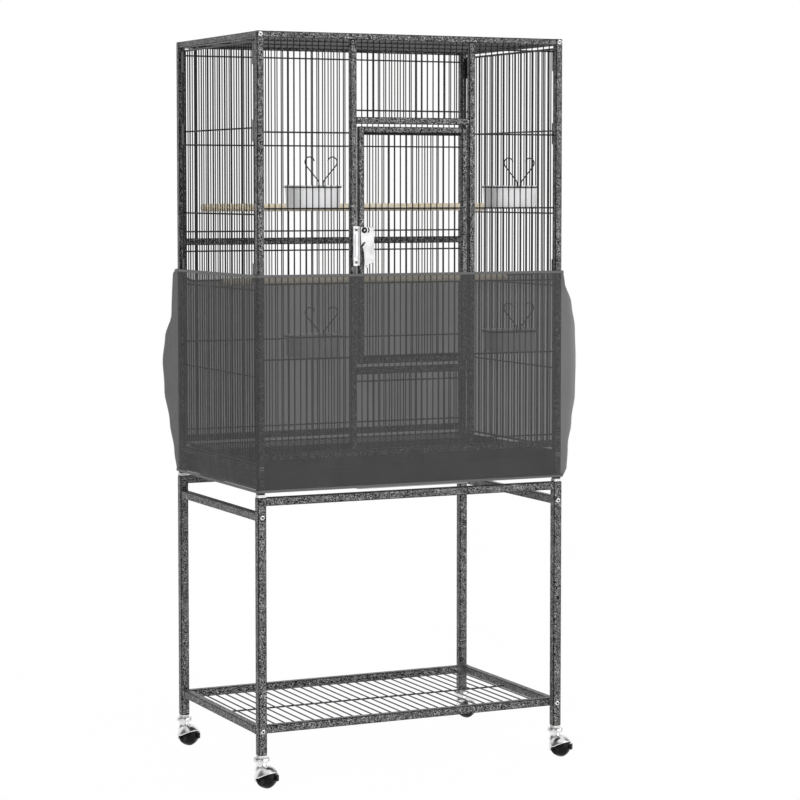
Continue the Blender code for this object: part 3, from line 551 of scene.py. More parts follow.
def add_turned(bm, profile, segments=32, place=Matrix.Identity(4)):
    """A surface turned about +Z from (radius, height) pairs; radius 0 makes a pole."""
    rings = []
    for radius, height in profile:
        if radius < 1e-6:
            rings.append([bm.verts.new(place @ Vector((0, 0, height)))])
            continue
        rings.append([
            bm.verts.new(place @ Vector((radius * math.cos(math.tau * index / segments),
                                         radius * math.sin(math.tau * index / segments), height)))
            for index in range(segments)])
    for ring, following in zip(rings, rings[1:]):
        for index in range(segments):
            far = (index + 1) % segments
            if len(ring) == 1:
                bm.faces.new((ring[0], following[far], following[index]))
            elif len(following) == 1:
                bm.faces.new((ring[index], ring[far], following[0]))
            else:
                bm.faces.new((ring[index], ring[far], following[far], following[index]))
    return rings


def spaced(low, high, count):
    """Places of count equal-spaced bars between two edges."""
    step = (high - low) / (count + 1)
    return [low + step * (index + 1) for index in range(count)]


def rounded_outline(half_x, half_y, corner, steps, side_steps=1):
    """Points of a rectangle with rounded corners, anticlockwise, as (x, y, outward x, outward y)."""
    points = []
    centres = ((1, 1), (-1, 1), (-1, -1), (1, -1))
    for quarter, (sign_x, sign_y) in enumerate(centres):
        for step in range(steps + 1):
            angle = math.pi / 2 * (quarter + step / steps)
            out_x, out_y = math.cos(angle), math.sin(angle)
            points.append((sign_x * (half_x - corner) + corner * out_x,
                           sign_y * (half_y - corner) + corner * out_y, out_x, out_y))
        if side_steps > 1:
            next_x, next_y = centres[(quarter + 1) % 4]
            angle = math.pi / 2 * (quarter + 1)
            out_x, out_y = math.cos(angle), math.sin(angle)
            start = points[-1]
            end = (next_x * (half_x - corner) + corner * out_x,
                   next_y * (half_y - corner) + corner * out_y)
            for step in range(1, side_steps):
                share = step / side_steps
                points.append((start[0] + (end[0] - start[0]) * share,
                               start[1] + (end[1] - start[1]) * share, out_x, out_y))
    return points


def add_skin(bm, sections, closed=False):
    """A skin through rings of equal length. Returns the rings."""
    rings = [[bm.verts.new(point) for point in section] for section in sections]
    pairs = list(zip(rings, rings[1:]))
    if closed:
        pairs.append((rings[-1], rings[0]))
    for ring, following in pairs:
        for index in range(len(ring)):
            far = (index + 1) % len(ring)
            bm.faces.new((ring[index], ring[far], following[far], following[index]))
    return rings


def add_capped_skin(bm, sections):
    """A skin through rings, with a face at each end."""
    rings = add_skin(bm, sections)
    bm.faces.new(rings[0])
    bm.faces.new(list(reversed(rings[-1])))


def make_piece(name, bm, material, *nodes, body="frame", round_by=0.0, sharp=35.0):
    """An object from a bmesh, with its finish, its CAD body and the CAD nodes it stands for."""
    bmesh.ops.recalc_face_normals(bm, faces=bm.faces)
    mesh = bpy.data.meshes.new(name)
    bm.to_mesh(mesh)
    bm.free()
    obj = bpy.data.objects.new(name, mesh)
    bpy.context.scene.collection.objects.link(obj)
    mesh.materials.append(material)
    mesh.shade_smooth()
    mesh.set_sharp_from_angle(angle=math.radians(sharp))
    if round_by:
        bevel = obj.modifiers.new("Round edges", "BEVEL")
        bevel.width = round_by
        bevel.segments = 2
        bevel.limit_method = "ANGLE"
        bevel.angle_limit = math.radians(40)
        bevel.harden_normals = True
    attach(obj, body)
    if nodes:
        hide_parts(*nodes)
    return obj


def add_upright_tube(bm, x, y, half, low, high):
    add_box(bm, (x - half, y - half, low), (x + half, y + half, high))


def add_level_tube(bm, x_low, x_high, y, half_y, z_low, z_high):
    """A rail along X that butts against its neighbours, a hair behind their faces."""
    add_box(bm, (x_low - BUTT_LAP, y - half_y + BUTT_INSET, z_low),
            (x_high + BUTT_LAP, y + half_y - BUTT_INSET, z_high))


# ---------------------------------------------------------------- stand

def make_stand():
    half = STAND_TUBE / 2
    for end, sign_y in (("front", -1), ("back", 1)):
        y = sign_y * POST_Y
        tubes = bmesh.new()
        for sign_x in SIDES.values():
            add_upright_tube(tubes, sign_x * POST_X, y, half + POST_SWELL, STAND_BOTTOM, STAND_TOP)
        inner = POST_X - half
        add_level_tube(tubes, -inner, inner, y, half, STAND_TOP - STAND_RAIL, STAND_TOP - BUTT_INSET)
        make_piece(f"stand_{end}_tubes", tubes, HAMMERTONE, f"stand_{end}_frame", round_by=STAND_ROUND)
    for side, sign_x in SIDES.items():
        reach = POST_Y - half
        x = sign_x * POST_X
        rail = boxes(((x - SIDE_RAIL / 2, -reach, SIDE_RAIL_Z[0]),
                      (x + SIDE_RAIL / 2, reach, SIDE_RAIL_Z[1])))
        make_piece(f"stand_side_tube_{side}", rail, HAMMERTONE, f"stand_side_rail_{side}",
                   round_by=STAND_ROUND)


def make_shelf():
    outer_x = POST_X + SHELF_TUBE / 2
    outer_y = POST_Y - STAND_TUBE / 2 - 0.0003
    inner_x = outer_x - SHELF_TUBE
    inner_y = outer_y - SHELF_TUBE
    bottom = SHELF_TOP - SHELF_TUBE
    tubes = bmesh.new()
    for sign in (-1, 1):
        y_low, y_high = sorted((sign * inner_y, sign * outer_y))
        add_box(tubes, (-outer_x, y_low, bottom), (outer_x, y_high, SHELF_TOP))
        x_low, x_high = sorted((sign * inner_x, sign * (outer_x - BUTT_INSET)))
        add_box(tubes, (x_low, -inner_y - BUTT_LAP, bottom + BUTT_INSET),
                (x_high, inner_y + BUTT_LAP, SHELF_TOP - BUTT_INSET))
    make_piece("shelf_tubes", tubes, HAMMERTONE, "bottom_shelf", round_by=STAND_ROUND)
    wires = bmesh.new()
    z = SHELF_TOP - SHELF_TUBE / 2
    for x in spaced(-inner_x, inner_x, SHELF_WIRES):
        add_deep_bar(wires, x, -inner_y, inner_y, z, THICK_WIRE)
    add_cross_bar(wires, -inner_x, inner_x, 0, z - 2 * THICK_WIRE + 0.0002, THICK_WIRE * 1.15)
    make_piece("shelf_wires", wires, BLACK_WIRE, "bottom_shelf")


def make_connectors():
    """A nylon block between each stand post and cage post, grooved at half height."""
    middle = (STAND_TOP + CAGE_BOTTOM) / 2
    steps = ((0.0, STAND_TOP, middle - 0.0002), (0.0008, middle - 0.0006, middle + 0.0006),
             (0.0003, middle + 0.0002, CAGE_BOTTOM))
    for corner, (sign_x, sign_y) in CORNERS.items():
        block = bmesh.new()
        for inset, low, high in steps:
            add_upright_tube(block, sign_x * POST_X, sign_y * POST_Y, STAND_TUBE / 2 - inset, low, high)
        make_piece(f"nylon_joint_{corner}", block, WHITE_NYLON, f"post_connector_{corner}",
                   round_by=0.0007)


# ---------------------------------------------------------------- casters

def make_caster(corner, sign_x, sign_y):
    """Hood, collar and lug on the swivel, the ball on its axle, and the plug in the post."""
    post = Vector((sign_x * POST_X, sign_y * POST_Y, 0))
    turn = Matrix.Rotation(CASTER_TURN, 4, "Z")
    ball = post + turn @ Vector((CASTER_TRAIL, 0, 0)) + Vector((0, 0, BALL_Z))
    place = Matrix.Translation(ball) @ turn
    hood = bmesh.new()
    angles = [HOOD_REACH * step / 14 for step in range(15)]
    outer = [(HOOD_RADIUS * math.sin(angle), HOOD_RADIUS * math.cos(angle)) for angle in angles]
    inner = [(HOOD_INNER * math.sin(angle), HOOD_INNER * math.cos(angle)) for angle in angles]
    lean = place @ Matrix.Rotation(HOOD_TILT, 4, "Y")
    edge = (HOOD_RADIUS + HOOD_INNER) / 2
    bead = (edge * math.sin(HOOD_REACH + 0.045), edge * math.cos(HOOD_REACH + 0.045))
    add_turned(hood, outer + [bead] + inner[::-1], 48, lean)
    wide, deep = outer[-1]
    turns = [math.tau * index / 48 for index in range(48)]
    rim = [lean @ Vector((wide * math.cos(angle), wide * math.sin(angle), deep)) for angle in turns]
    add_wire(hood, rim, 0.0006, 8, closed=True)
    neck = Matrix.Translation(post)
    top = COLLAR_Z[0]
    add_turned(hood, [(0.0, NECK_BOTTOM), (NECK_RADIUS * 1.22, NECK_BOTTOM), (NECK_RADIUS * 1.05, 0.0385),
                      (NECK_RADIUS, 0.0415), (NECK_RADIUS * 1.04, top - 0.0008),
                      (NECK_RADIUS * 1.25, top + 0.0002), (0.0, top + 0.0002)], 40, neck)
    low, high = COLLAR_Z
    r = COLLAR_RADIUS
    add_turned(hood, [(0.0, low), (r - 0.0016, low), (r - 0.0004, low + 0.0005), (r, low + 0.0017),
                      (r, low + 0.0032), (r - 0.0007, low + 0.0038), (r, low + 0.0044),
                      (r, high - 0.0016), (r - 0.0005, high - 0.0005), (r - 0.0017, high), (0.0, high)],
               48, neck)
    make_piece(f"caster_chrome_{corner}", hood, CHROME, f"caster_hood_{corner}", body=f"caster_{corner}")
    lug = bmesh.new()
    for sign in (-1, 1):
        side_on = place @ Matrix.Translation((0, sign * (HOOD_RADIUS - 0.0008), 0)) @ \
            Matrix.Rotation(-sign * math.pi / 2, 4, "X")
        add_turned(lug, [(0.0, -0.0012), (0.0026, -0.0012), (0.0026, 0.0009), (0.0019, 0.0016),
                         (0.0, 0.0017)], 20, side_on)
    tab = boxes(((0.0202, -0.0036, -0.0036), (0.0236, 0.0036, 0.0072)))
    bmesh.ops.transform(tab, matrix=place @ Matrix.Rotation(math.radians(25), 4, "Z"), verts=tab.verts)
    add_mesh(lug, tab)
    make_piece(f"caster_lug_{corner}", lug, BLACK_PLASTIC_AND_SHADE, body=f"caster_{corner}", round_by=0.0015)

    wheel = bmesh.new()
    limit = math.asin(BALL_HALF_WIDTH / BALL_RADIUS)
    face = BALL_HALF_WIDTH
    hub = [(0.0, face - 0.0016), (BALL_HUB, face - 0.0016), (0.0060, face - 0.0004),
           (0.0092, face), (0.0108, face - 0.0002)]
    turned = [(radius, -height) for radius, height in hub]
    for step in range(25):
        angle = -limit + 2 * limit * step / 24
        cone = 1 - (1 - math.cos(limit)) * abs(angle) / limit
        radius = BALL_RADIUS * (0.5 * math.cos(angle) + 0.5 * cone)
        groove = BALL_GROOVE if step == 12 else 0.0
        turned.append((radius - groove, BALL_RADIUS * math.sin(angle)))
    add_turned(wheel, turned + hub[::-1], 56, place @ Matrix.Rotation(math.pi / 2, 4, "X"))
    make_piece(f"caster_ball_{corner}", wheel, BLACK_PLASTIC_AND_SHADE, f"caster_wheel_{corner}",
               body=f"wheel_{corner}")

    plug = bmesh.new()
    add_upright_tube(plug, post.x, post.y, STAND_TUBE / 2 - 0.0004, high + 0.0016, STAND_BOTTOM + 0.001)
    add_turned(plug, [(0.0, high + 0.0001), (0.0092, high + 0.0001), (0.0098, high + 0.0008),
                      (0.0098, high + 0.0019), (0.0, high + 0.0019)], 32, neck)
    make_piece(f"post_plug_{corner}", plug, WHITE_NYLON, round_by=0.0005)


# ---------------------------------------------------------------- cage

def add_end_panel(tubes, y):
    """Two posts of the cage with the rails at the top and bottom between them."""
    half = CAGE_TUBE / 2
    for sign_x in SIDES.values():
        add_upright_tube(tubes, sign_x * POST_X, y, half + POST_SWELL, CAGE_BOTTOM, HEIGHT)
    for heights in ((HEIGHT - CAGE_TUBE, HEIGHT - BUTT_INSET), RAIL_BOTTOM_Z):
        add_level_tube(tubes, half - POST_X, POST_X - half, y, half, *heights)


def make_front():
    half = CAGE_TUBE / 2
    inner_x = POST_X - half
    head = HEIGHT - CAGE_TUBE
    near, far = MULLION_X
    rail_top = RAIL_BOTTOM_Z[1]
    tubes = bmesh.new()
    add_end_panel(tubes, -POST_Y)
    for sign_x in SIDES.values():
        x_low, x_high = sorted((sign_x * near, sign_x * far))
        add_box(tubes, (x_low, -POST_Y - half + BUTT_INSET, rail_top - BUTT_LAP),
                (x_high, -POST_Y + half - BUTT_INSET, head + BUTT_LAP))
    for heights in (LINTEL_Z, SILL_Z):
        add_level_tube(tubes, -near, near, -POST_Y, half - BUTT_INSET, *heights)
    make_piece("front_tubes", tubes, HAMMERTONE, "front_panel", round_by=CAGE_ROUND)

    wires = bmesh.new()
    y = -POST_Y
    cross_y = y + WIRE_STEP
    for sign_x in SIDES.values():
        for x in spaced(far, inner_x, BAY_BARS):
            add_bar(wires, sign_x * x, y, rail_top, head)
        ends = sorted((sign_x * far, sign_x * inner_x))
        for z in BAY_WIRES_Z:
            add_cross_bar(wires, *ends, cross_y, z)
    for x in spaced(-near, near, MIDDLE_BARS):
        add_bar(wires, x, y, LINTEL_Z[1], head)
        add_bar(wires, x, y, rail_top, SILL_Z[0])
    for z in LINTEL_WIRES_Z + SILL_WIRES_Z:
        add_cross_bar(wires, -near, near, cross_y, z)
    make_piece("front_wires", wires, BLACK_WIRE, "front_panel")

    sockets = bmesh.new()
    for low, high in ((DOOR_Z[1] + 0.0012, LINTEL_Z[0] + 0.001), (SILL_Z[1] - 0.001, DOOR_Z[0] - 0.0012)):
        add_turned(sockets, [(0.0030, low), (0.0042, low), (0.0042, high), (0.0030, high), (0.0030, low)],
                   20, Matrix.Translation((*HINGE, 0)))
    make_piece("hinge_sockets", sockets, BLACK_WIRE)


def make_back():
    half = CAGE_TUBE / 2
    inner_x = POST_X - half
    tubes = bmesh.new()
    add_end_panel(tubes, POST_Y)
    add_level_tube(tubes, -inner_x, inner_x, POST_Y, half, *BACK_MID_Z)
    make_piece("back_tubes", tubes, HAMMERTONE, "back_panel", round_by=CAGE_ROUND)
    wires = bmesh.new()
    for x in spaced(-inner_x, inner_x, BACK_BARS):
        add_bar(wires, x, POST_Y, RAIL_BOTTOM_Z[1], BACK_MID_Z[0])
        add_bar(wires, x, POST_Y, BACK_MID_Z[1], HEIGHT - CAGE_TUBE)
    for z in BACK_WIRES_Z:
        add_cross_bar(wires, -inner_x, inner_x, POST_Y - WIRE_STEP, z)
    make_piece("back_wires", wires, BLACK_WIRE, "back_panel")


def make_cage_sides():
    half = CAGE_TUBE / 2
    reach = POST_Y - half
    for side, sign_x in SIDES.items():
        x = sign_x * POST_X
        for level, low, high in (("top", HEIGHT - CAGE_TUBE, HEIGHT - BUTT_INSET),
                                 ("low", *SIDE_BOTTOM_Z)):
            rail = boxes(((x - half + BUTT_INSET, -reach, low), (x + half - BUTT_INSET, reach, high)))
            make_piece(f"cage_{level}_tube_{side}", rail, HAMMERTONE, f"cage_{level}_rail_{side}",
                       round_by=CAGE_ROUND)
        make_runner(side, sign_x)
        make_side_panel(side, sign_x)


def make_runner(side, sign_x):
    """A folded channel of black sheet inside the low tube, with rolled lips."""
    inside = sign_x * (POST_X - CAGE_TUBE / 2)
    low, high = RUNNER_Z
    sheet = RUNNER_SHEET
    lip = 0.012
    points = [(0.0, low), (lip - 0.0006, low), (lip, low + 0.0005), (lip, low + sheet),
              (sheet * 1.8, low + sheet), (sheet, low + sheet * 1.8), (sheet, high - sheet * 1.8),
              (sheet * 1.8, high - sheet), (lip, high - sheet), (lip, high - 0.0005),
              (lip - 0.0006, high), (0.0, high)]
    reach = POST_Y - CAGE_TUBE / 2 - 0.0005
    channel = bmesh.new()
    add_capped_skin(channel, [[(inside - sign_x * u, y, z) for u, z in points] for y in (-reach, reach)])
    make_piece(f"runner_{side}", channel, BLACK_WIRE, f"cage_low_rail_{side}")


def make_side_panel(side, sign_x):
    """A frame of thick wire with thin bars, hung on the posts by hook plates."""
    x = sign_x * POST_X
    low, high = PANEL_Z
    radius = PANEL_WIRE / 2
    wires = bmesh.new()
    add_frame_wire(wires, PANEL_REACH - radius, (high - low) / 2 - radius, radius,
                   lambda u, v: (x, u, (low + high) / 2 + v))
    inside = PANEL_REACH - PANEL_WIRE
    for y in spaced(-inside, inside, SIDE_BARS):
        add_wire(wires, ((x, y, low + 0.001), (x, y, high - 0.001)), WIRE)
    for z in SIDE_WIRES_Z:
        add_deep_bar(wires, x - sign_x * WIRE_STEP, -inside, inside, z, CROSS_WIRE)
    make_piece(f"side_wires_{side}", wires, BLACK_WIRE, f"side_panel_{side}")
    plates = bmesh.new()
    outer = POST_Y - CAGE_TUBE / 2
    for bottom, top in HOOKS_Z:
        for sign_y in (-1, 1):
            y_low, y_high = sorted((sign_y * (PANEL_REACH - HOOK_REACH), sign_y * outer))
            x_low, x_high = sorted((x + sign_x * 0.0018, x + sign_x * 0.0038))
            add_box(plates, (x_low, y_low, bottom), (x_high, y_high, top))
    make_piece(f"hook_plates_{side}", plates, BLACK_WIRE, f"side_panel_{side}", round_by=0.0006)


def make_top():
    outer_x = POST_X - CAGE_TUBE / 2
    outer_y = POST_Y - CAGE_TUBE / 2
    inner_x = outer_x - PANEL_WIRE
    inner_y = outer_y - PANEL_WIRE
    z = HEIGHT - CAGE_TUBE / 2
    wires = bmesh.new()
    radius = PANEL_WIRE / 2
    add_frame_wire(wires, outer_x - radius, outer_y - radius, radius, lambda u, v: (u, v, z))
    for x in spaced(-inner_x, inner_x, TOP_BARS):
        add_deep_bar(wires, x, -inner_y, inner_y, z)
    for y in (-inner_y / 3, inner_y / 3):
        add_cross_bar(wires, -inner_x, inner_x, y, z - WIRE_STEP)
    make_piece("top_wires", wires, BLACK_WIRE, "top_panel")


# ---------------------------------------------------------------- bolts, door and latch

def add_button_head(bm, place, radius, height):
    """A button head with a hexagon socket, standing on +Z from place."""
    steps = [(0.0, 0.0), (radius, 0.0), (radius, height * 0.18), (radius * 0.93, height * 0.45),
             (radius * 0.80, height * 0.76), (radius * 0.66, height * 0.94), (radius * 0.58, height)]
    previous = add_turned(bm, steps, 36, place)[-1]
    hexagon = radius * 0.50
    for depth in (height * 0.97, height * 0.42):
        ring = []
        for index in range(36):
            angle = math.tau * index / 36
            inside = hexagon * math.cos(math.pi / 6) / math.cos((angle % (math.pi / 3)) - math.pi / 6)
            spot = Vector((inside * math.cos(angle), inside * math.sin(angle), depth))
            ring.append(bm.verts.new(place @ spot))
        for index in range(36):
            far = (index + 1) % 36
            bm.faces.new((previous[index], previous[far], ring[far], ring[index]))
        previous = ring
    # Painted shade: the socket's floor takes the second material, black, for the shade in the hexagon
    # recess.
    bm.faces.new(previous).material_index = 1


def make_bolts():
    for corner, (sign_x, sign_y) in CORNERS.items():
        outward = Matrix.Rotation(-sign_y * math.pi / 2, 4, "X")
        for heights, half in ((CAGE_BOLTS_Z, CAGE_TUBE / 2), (STAND_BOLTS_Z, STAND_TUBE / 2)):
            for level, z in heights.items():
                head = bmesh.new()
                place = Matrix.Translation((sign_x * POST_X, sign_y * (POST_Y + half), z)) @ outward
                washer = [(0.0, -0.0002), (BOLT_HEAD + 0.0003, -0.0002), (BOLT_HEAD + 0.0003, 0.0004),
                          (BOLT_HEAD, 0.0006), (0.0, 0.0006)]
                add_turned(head, washer, 36, place)
                add_button_head(head, place @ Matrix.Translation((0, 0, 0.0005)), BOLT_HEAD * 0.96,
                                BOLT_HEAD_HEIGHT - 0.0005)
                bolt = make_piece(f"button_head_{level}_{corner}", head, CHROME,
                                  f"bolt_{level}_{corner}")
                # Black for the socket floors: painted shade in the recesses.
                bolt.data.materials.append(BLACK_PLASTIC_AND_SHADE)


def make_door():
    left, right = DOOR_X
    bottom, top = DOOR_Z
    y_low, y_high = DOOR_Y
    y = (y_low + y_high) / 2
    inner_x = (left + DOOR_TUBE, right - DOOR_TUBE)
    inner_z = (bottom + DOOR_TUBE, top - DOOR_TUBE)
    tubes = boxes(((left, y_low, bottom), (inner_x[0], y_high, top)),
                  ((inner_x[1], y_low, bottom), (right, y_high, top)))
    for z_low, z_high in ((bottom + BUTT_INSET, inner_z[0]), (inner_z[1], top - BUTT_INSET)):
        add_box(tubes, (inner_x[0] - BUTT_LAP, y_low + BUTT_INSET, z_low),
                (inner_x[1] + BUTT_LAP, y_high - BUTT_INSET, z_high))
    make_piece("door_tubes", tubes, HAMMERTONE, "door", body="door", round_by=CAGE_ROUND)
    wires = bmesh.new()
    for x in spaced(*inner_x, DOOR_BARS):
        add_bar(wires, x, y, *inner_z)
    for z, radius in ((DOOR_WIRES_Z[0], CROSS_WIRE), (DOOR_WIRES_Z[1], CROSS_WIRE),
                      (inner_z[0] + 0.0020, 0.0020), (inner_z[1] - 0.0020, 0.0020)):
        add_cross_bar(wires, *inner_x, y + WIRE_STEP, z, radius)
    for low, high in ((bottom - 0.010, bottom + 0.003), (top - 0.003, LINTEL_Z[0] + 0.004)):
        add_wire(wires, ((*HINGE, low), (*HINGE, high)), 0.0024, 16)
    make_piece("door_wires", wires, BLACK_WIRE, "door", body="door")


def make_keeper():
    """A bright channel on the left mullion with a half-round ridge and two screws."""
    low, high = KEEPER_Z
    left, right = KEEPER_X
    middle = (left + right) / 2
    back = FRONT_Y
    plate = boxes(((left, back - 0.0012, low), (right, back, high)),
                  ((left, back - 0.0036, low), (left + 0.0013, back, high)),
                  ((right - 0.0013, back - 0.0036, low), (right, back, high)))
    make_piece("keeper_channel", plate, PALE_ZINC, "latch_keeper", round_by=0.0005)
    ridge = bmesh.new()
    sections = []
    for z, swell in ((low + 0.013, 0.15), (low + 0.0145, 0.75), (low + 0.017, 1.0),
                     (high - 0.017, 1.0), (high - 0.0145, 0.75), (high - 0.013, 0.15)):
        section = []
        for step in range(17):
            angle = math.pi * step / 16
            section.append((middle + RIDGE_HALF * math.cos(angle),
                            back - 0.0010 - RIDGE_RISE * swell * math.sin(angle), z))
        section += [(middle - RIDGE_HALF, back - 0.0005, z), (middle + RIDGE_HALF, back - 0.0005, z)]
        sections.append(section)
    add_capped_skin(ridge, sections)
    screws_z = (low + SCREW_INSET, high - SCREW_INSET)
    for z in screws_z:
        add_turned(ridge, [(0.0, 0.0), (0.0046, 0.0), (0.0045, 0.0006), (0.0034, 0.0014),
                           (0.0014, 0.0018), (0.0011, 0.0013), (0.0, 0.0012)], 28,
                   facing_front(middle, back - 0.0011, z))
    make_piece("keeper_ridge", ridge, PALE_ZINC, "latch_keeper")
    # Painted shade: the screw slots are black wires laid over the heads, for the shade in the slots.
    slots = bmesh.new()
    for z in screws_z:
        for turn in (math.radians(40), math.radians(-50)):
            run = Vector((math.cos(turn), 0, math.sin(turn))) * 0.0029
            centre = Vector((middle, back - 0.0026, z))
            add_wire(slots, (centre - run, centre, centre + run), 0.0009, 6)
    make_piece("keeper_slot_shade", slots, BLACK_PLASTIC_AND_SHADE)


def make_lever():
    """The hanging plate with its nose over the keeper, a rolled edge, a ring and a small hole painted as a
    flat black disc of shade.
    """
    pivot_x, pivot_z = LEVER_PIVOT
    outline = [
        (pivot_x - 0.0072, pivot_z + 0.0050), (pivot_x - 0.0066, pivot_z + 0.0055),
        (-0.0850, pivot_z + 0.0055), (-0.0838, pivot_z + 0.0048), (-0.0831, pivot_z + 0.0020),
        (-0.0830, 0.9630), (-0.0831, 0.9538), (-0.0838, 0.9513), (-0.0855, 0.9490), (-0.0885, 0.9475),
        (-0.0940, 0.9466), (-0.0950, 0.9453), (-0.0957, 0.9413), (-0.0966, 0.9399), (-0.0985, 0.9396),
        (-0.1002, 0.9404), (-0.1012, 0.9434), (-0.1024, 0.9488), (-0.1036, 0.9678), (-0.1053, 0.9752),
        (-0.1071, 0.9772), (-0.1054, 0.9796), (-0.1006, 0.9856), (-0.1012, 0.9874), (-0.1062, 0.9846),
        (-0.1092, 0.9806), (-0.1098, 0.9832), (-0.1100, 0.9900)]
    front, back = LEVER_Y
    plate = bmesh.new()
    lift = 0.0004

    def ring(y, inset):
        points = []
        for index, (x, z) in enumerate(outline):
            before, after = outline[index - 1], outline[(index + 1) % len(outline)]
            run = Vector((after[0] - before[0], after[1] - before[1])).normalized()
            inward = Vector((run.y, -run.x))
            points.append((x + inward.x * inset, y, z + inward.y * inset))
        return points

    add_capped_skin(plate, [ring(back, lift), ring(back - lift, 0.0), ring(front + lift, 0.0),
                            ring(front, lift)])
    make_piece("lever_plate", plate, ZINC, "latch_lever", body="latch", sharp=30.0)

    fittings = bmesh.new()
    add_turned(fittings, [(0.0, -0.004), (0.0019, -0.004), (0.0019, 0.0014), (0.0016, 0.0020),
                          (0.0008, 0.0026), (0.0, 0.0027)], 32, facing_front(pivot_x, front, pivot_z))
    make_piece("lever_pivot", fittings, CHROME, "latch_lever", body="latch")
    dark = bmesh.new()
    add_turned(dark, [(0.0020, 0.0), (0.0054, 0.0), (0.0054, 0.0006), (0.0048, 0.0012), (0.0026, 0.0012),
                      (0.0020, 0.0)], 32, facing_front(pivot_x, front - 0.0001, pivot_z))
    crescent = []
    for step in range(9):
        angle = math.radians(-62 + 124 * step / 8)
        crescent.append((pivot_x + 0.0048 + 0.0046 * math.cos(angle), front - 0.0002,
                         pivot_z + 0.0046 * math.sin(angle)))
    add_wire(dark, crescent, 0.0011, 8)
    # Painted shade: the small hole is a flat black disc on the plate's face, for the shade in the hole.
    add_turned(dark, [(0.0, 0.0), (0.0010, 0.0), (0.0010, 0.0002), (0.0, 0.0002)], 20,
               facing_front(LEVER_HOLE[0], front - 0.0001, LEVER_HOLE[1]))
    make_piece("lever_rings", dark, BLACK_PLASTIC_AND_SHADE, "latch_lever", body="latch")


# ---------------------------------------------------------------- tray and grate

def make_tray():
    front, back = TRAY_Y
    low, high = TRAY_Z
    middle_y = (front + back) / 2
    half_y = (back - front) / 2
    tray = bmesh.new()

    def ring(inset, z, corner):
        return [(u, middle_y + v, z) for u, v, _, _ in
                rounded_outline(TRAY_X - inset, half_y - inset, corner, 5)]

    wall = TRAY_WALL
    sections = [ring(inset, z, corner) for inset, z, corner in (
        (0.0035, low, 0.003), (0.0010, low + 0.0007, 0.004), (0.0, low + 0.003, 0.004),
        (0.0, high - 0.0008, 0.004), (0.0004, high, 0.0038), (wall - 0.0004, high, 0.003),
        (wall, high - 0.0008, 0.0027), (wall, low + 0.0045, 0.0027),
        (wall + 0.0009, low + 0.0024, 0.003), (wall + 0.0035, low + wall, 0.003))]
    add_capped_skin(tray, sections)
    make_piece("tray_pan", tray, TRAY_BLACK, "tray", body="tray")
    face = boxes(((-TRAY_FRONT_X, front - 0.0001, low + 0.0007),
                  (TRAY_FRONT_X, front + wall - 0.0001, high)))
    make_piece("tray_front", face, TRAY_BLACK, "tray", body="tray", round_by=0.0005)

    pull = bmesh.new()
    outline = [(-0.0010, low - 0.0005), (-0.0010, low - 0.0040), (-0.0004, low - 0.0053),
               (0.0008, low - 0.0058), (0.0108, low - 0.0058), (0.0118, low - 0.0050),
               (0.0120, low - 0.0036), (0.0108, low - 0.0040), (0.0030, low - 0.0040),
               (0.0014, low - 0.0032), (0.0012, low - 0.0005)]
    middle = (0.0055, low - 0.0030)
    sections = []
    for x, share in ((-PULL_X, 0.55), (-PULL_X + 0.0012, 0.9), (-PULL_X + 0.004, 1.0),
                     (PULL_X - 0.004, 1.0), (PULL_X - 0.0012, 0.9), (PULL_X, 0.55)):
        sections.append([(x, front + middle[0] + (u - middle[0]) * share,
                          middle[1] + (z - middle[1]) * share) for u, z in outline])
    add_capped_skin(pull, sections)
    make_piece("pull_lip", pull, PALE_PLASTIC, "tray_pull", body="tray")


def make_grate():
    front, back = TRAY_Y[0] + 0.008, TRAY_Y[1]
    low, high = GRATE_Z
    z = (low + high) / 2
    wires = bmesh.new()
    half_y = (back - front) / 2 - GRATE_WIRE
    middle_y = (front + back) / 2
    add_frame_wire(wires, TRAY_X - GRATE_WIRE, half_y, GRATE_WIRE, lambda u, v: (u, middle_y + v, z))
    inner_x = TRAY_X - 0.004
    for x in spaced(-inner_x, inner_x, GRATE_BARS):
        add_wire(wires, ((x, front + 0.002, z + 0.0006), (x, back - 0.002, z + 0.0006)), WIRE)
    for y in (middle_y - 0.09, middle_y + 0.09):
        add_cross_bar(wires, -inner_x, inner_x, y, z - 0.0012)
    make_piece("grate_wires", wires, BLACK_WIRE, "grate", body="grate")
    face_y = TRAY_Y[0]
    strip = boxes(((-TRAY_FRONT_X, face_y, GRATE_STRIP_BOTTOM),
                   (TRAY_FRONT_X, face_y + 0.0013, high - 0.0003)),
                  ((-TRAY_X + 0.01, face_y + 0.0009, z - 0.0006),
                   (TRAY_X - 0.01, front + 0.002, z + 0.0006)))
    make_piece("grate_strip", strip, BLACK_WIRE, "grate", body="grate", round_by=0.0004)

    knob = bmesh.new()
    r = KNOB_RADIUS
    add_turned(knob, [(0.0, 0.0), (r * 0.80, 0.0), (r * 0.90, 0.0006), (r * 0.93, 0.0022), (r, 0.0036),
                      (r, 0.0052), (r * 0.95, 0.0064), (r * 0.80, 0.0073), (r * 0.5, 0.0075),
                      (r * 0.42, 0.0070), (0.0, 0.0066)], 48,
               facing_front(0, FRONT_Y - 0.0008, KNOB_Z))
    add_wire(knob, ((0, face_y + 0.0005, KNOB_STEM_Z), (0, FRONT_Y - 0.0015, KNOB_STEM_Z)), 0.0035, 20)
    make_piece("grate_pull_knob", knob, BLACK_PLASTIC_AND_SHADE, "grate_knob", body="grate")


# ---------------------------------------------------------------- net

def curve(stops, share):
    """A height's value on a smooth curve through (share of the height, value) stops."""
    for (low, start), (high, end) in zip(stops, stops[1:]):
        if share <= high:
            part = (share - low) / (high - low)
            return start + (end - start) * (part * part * (3 - 2 * part))
    return stops[-1][1]


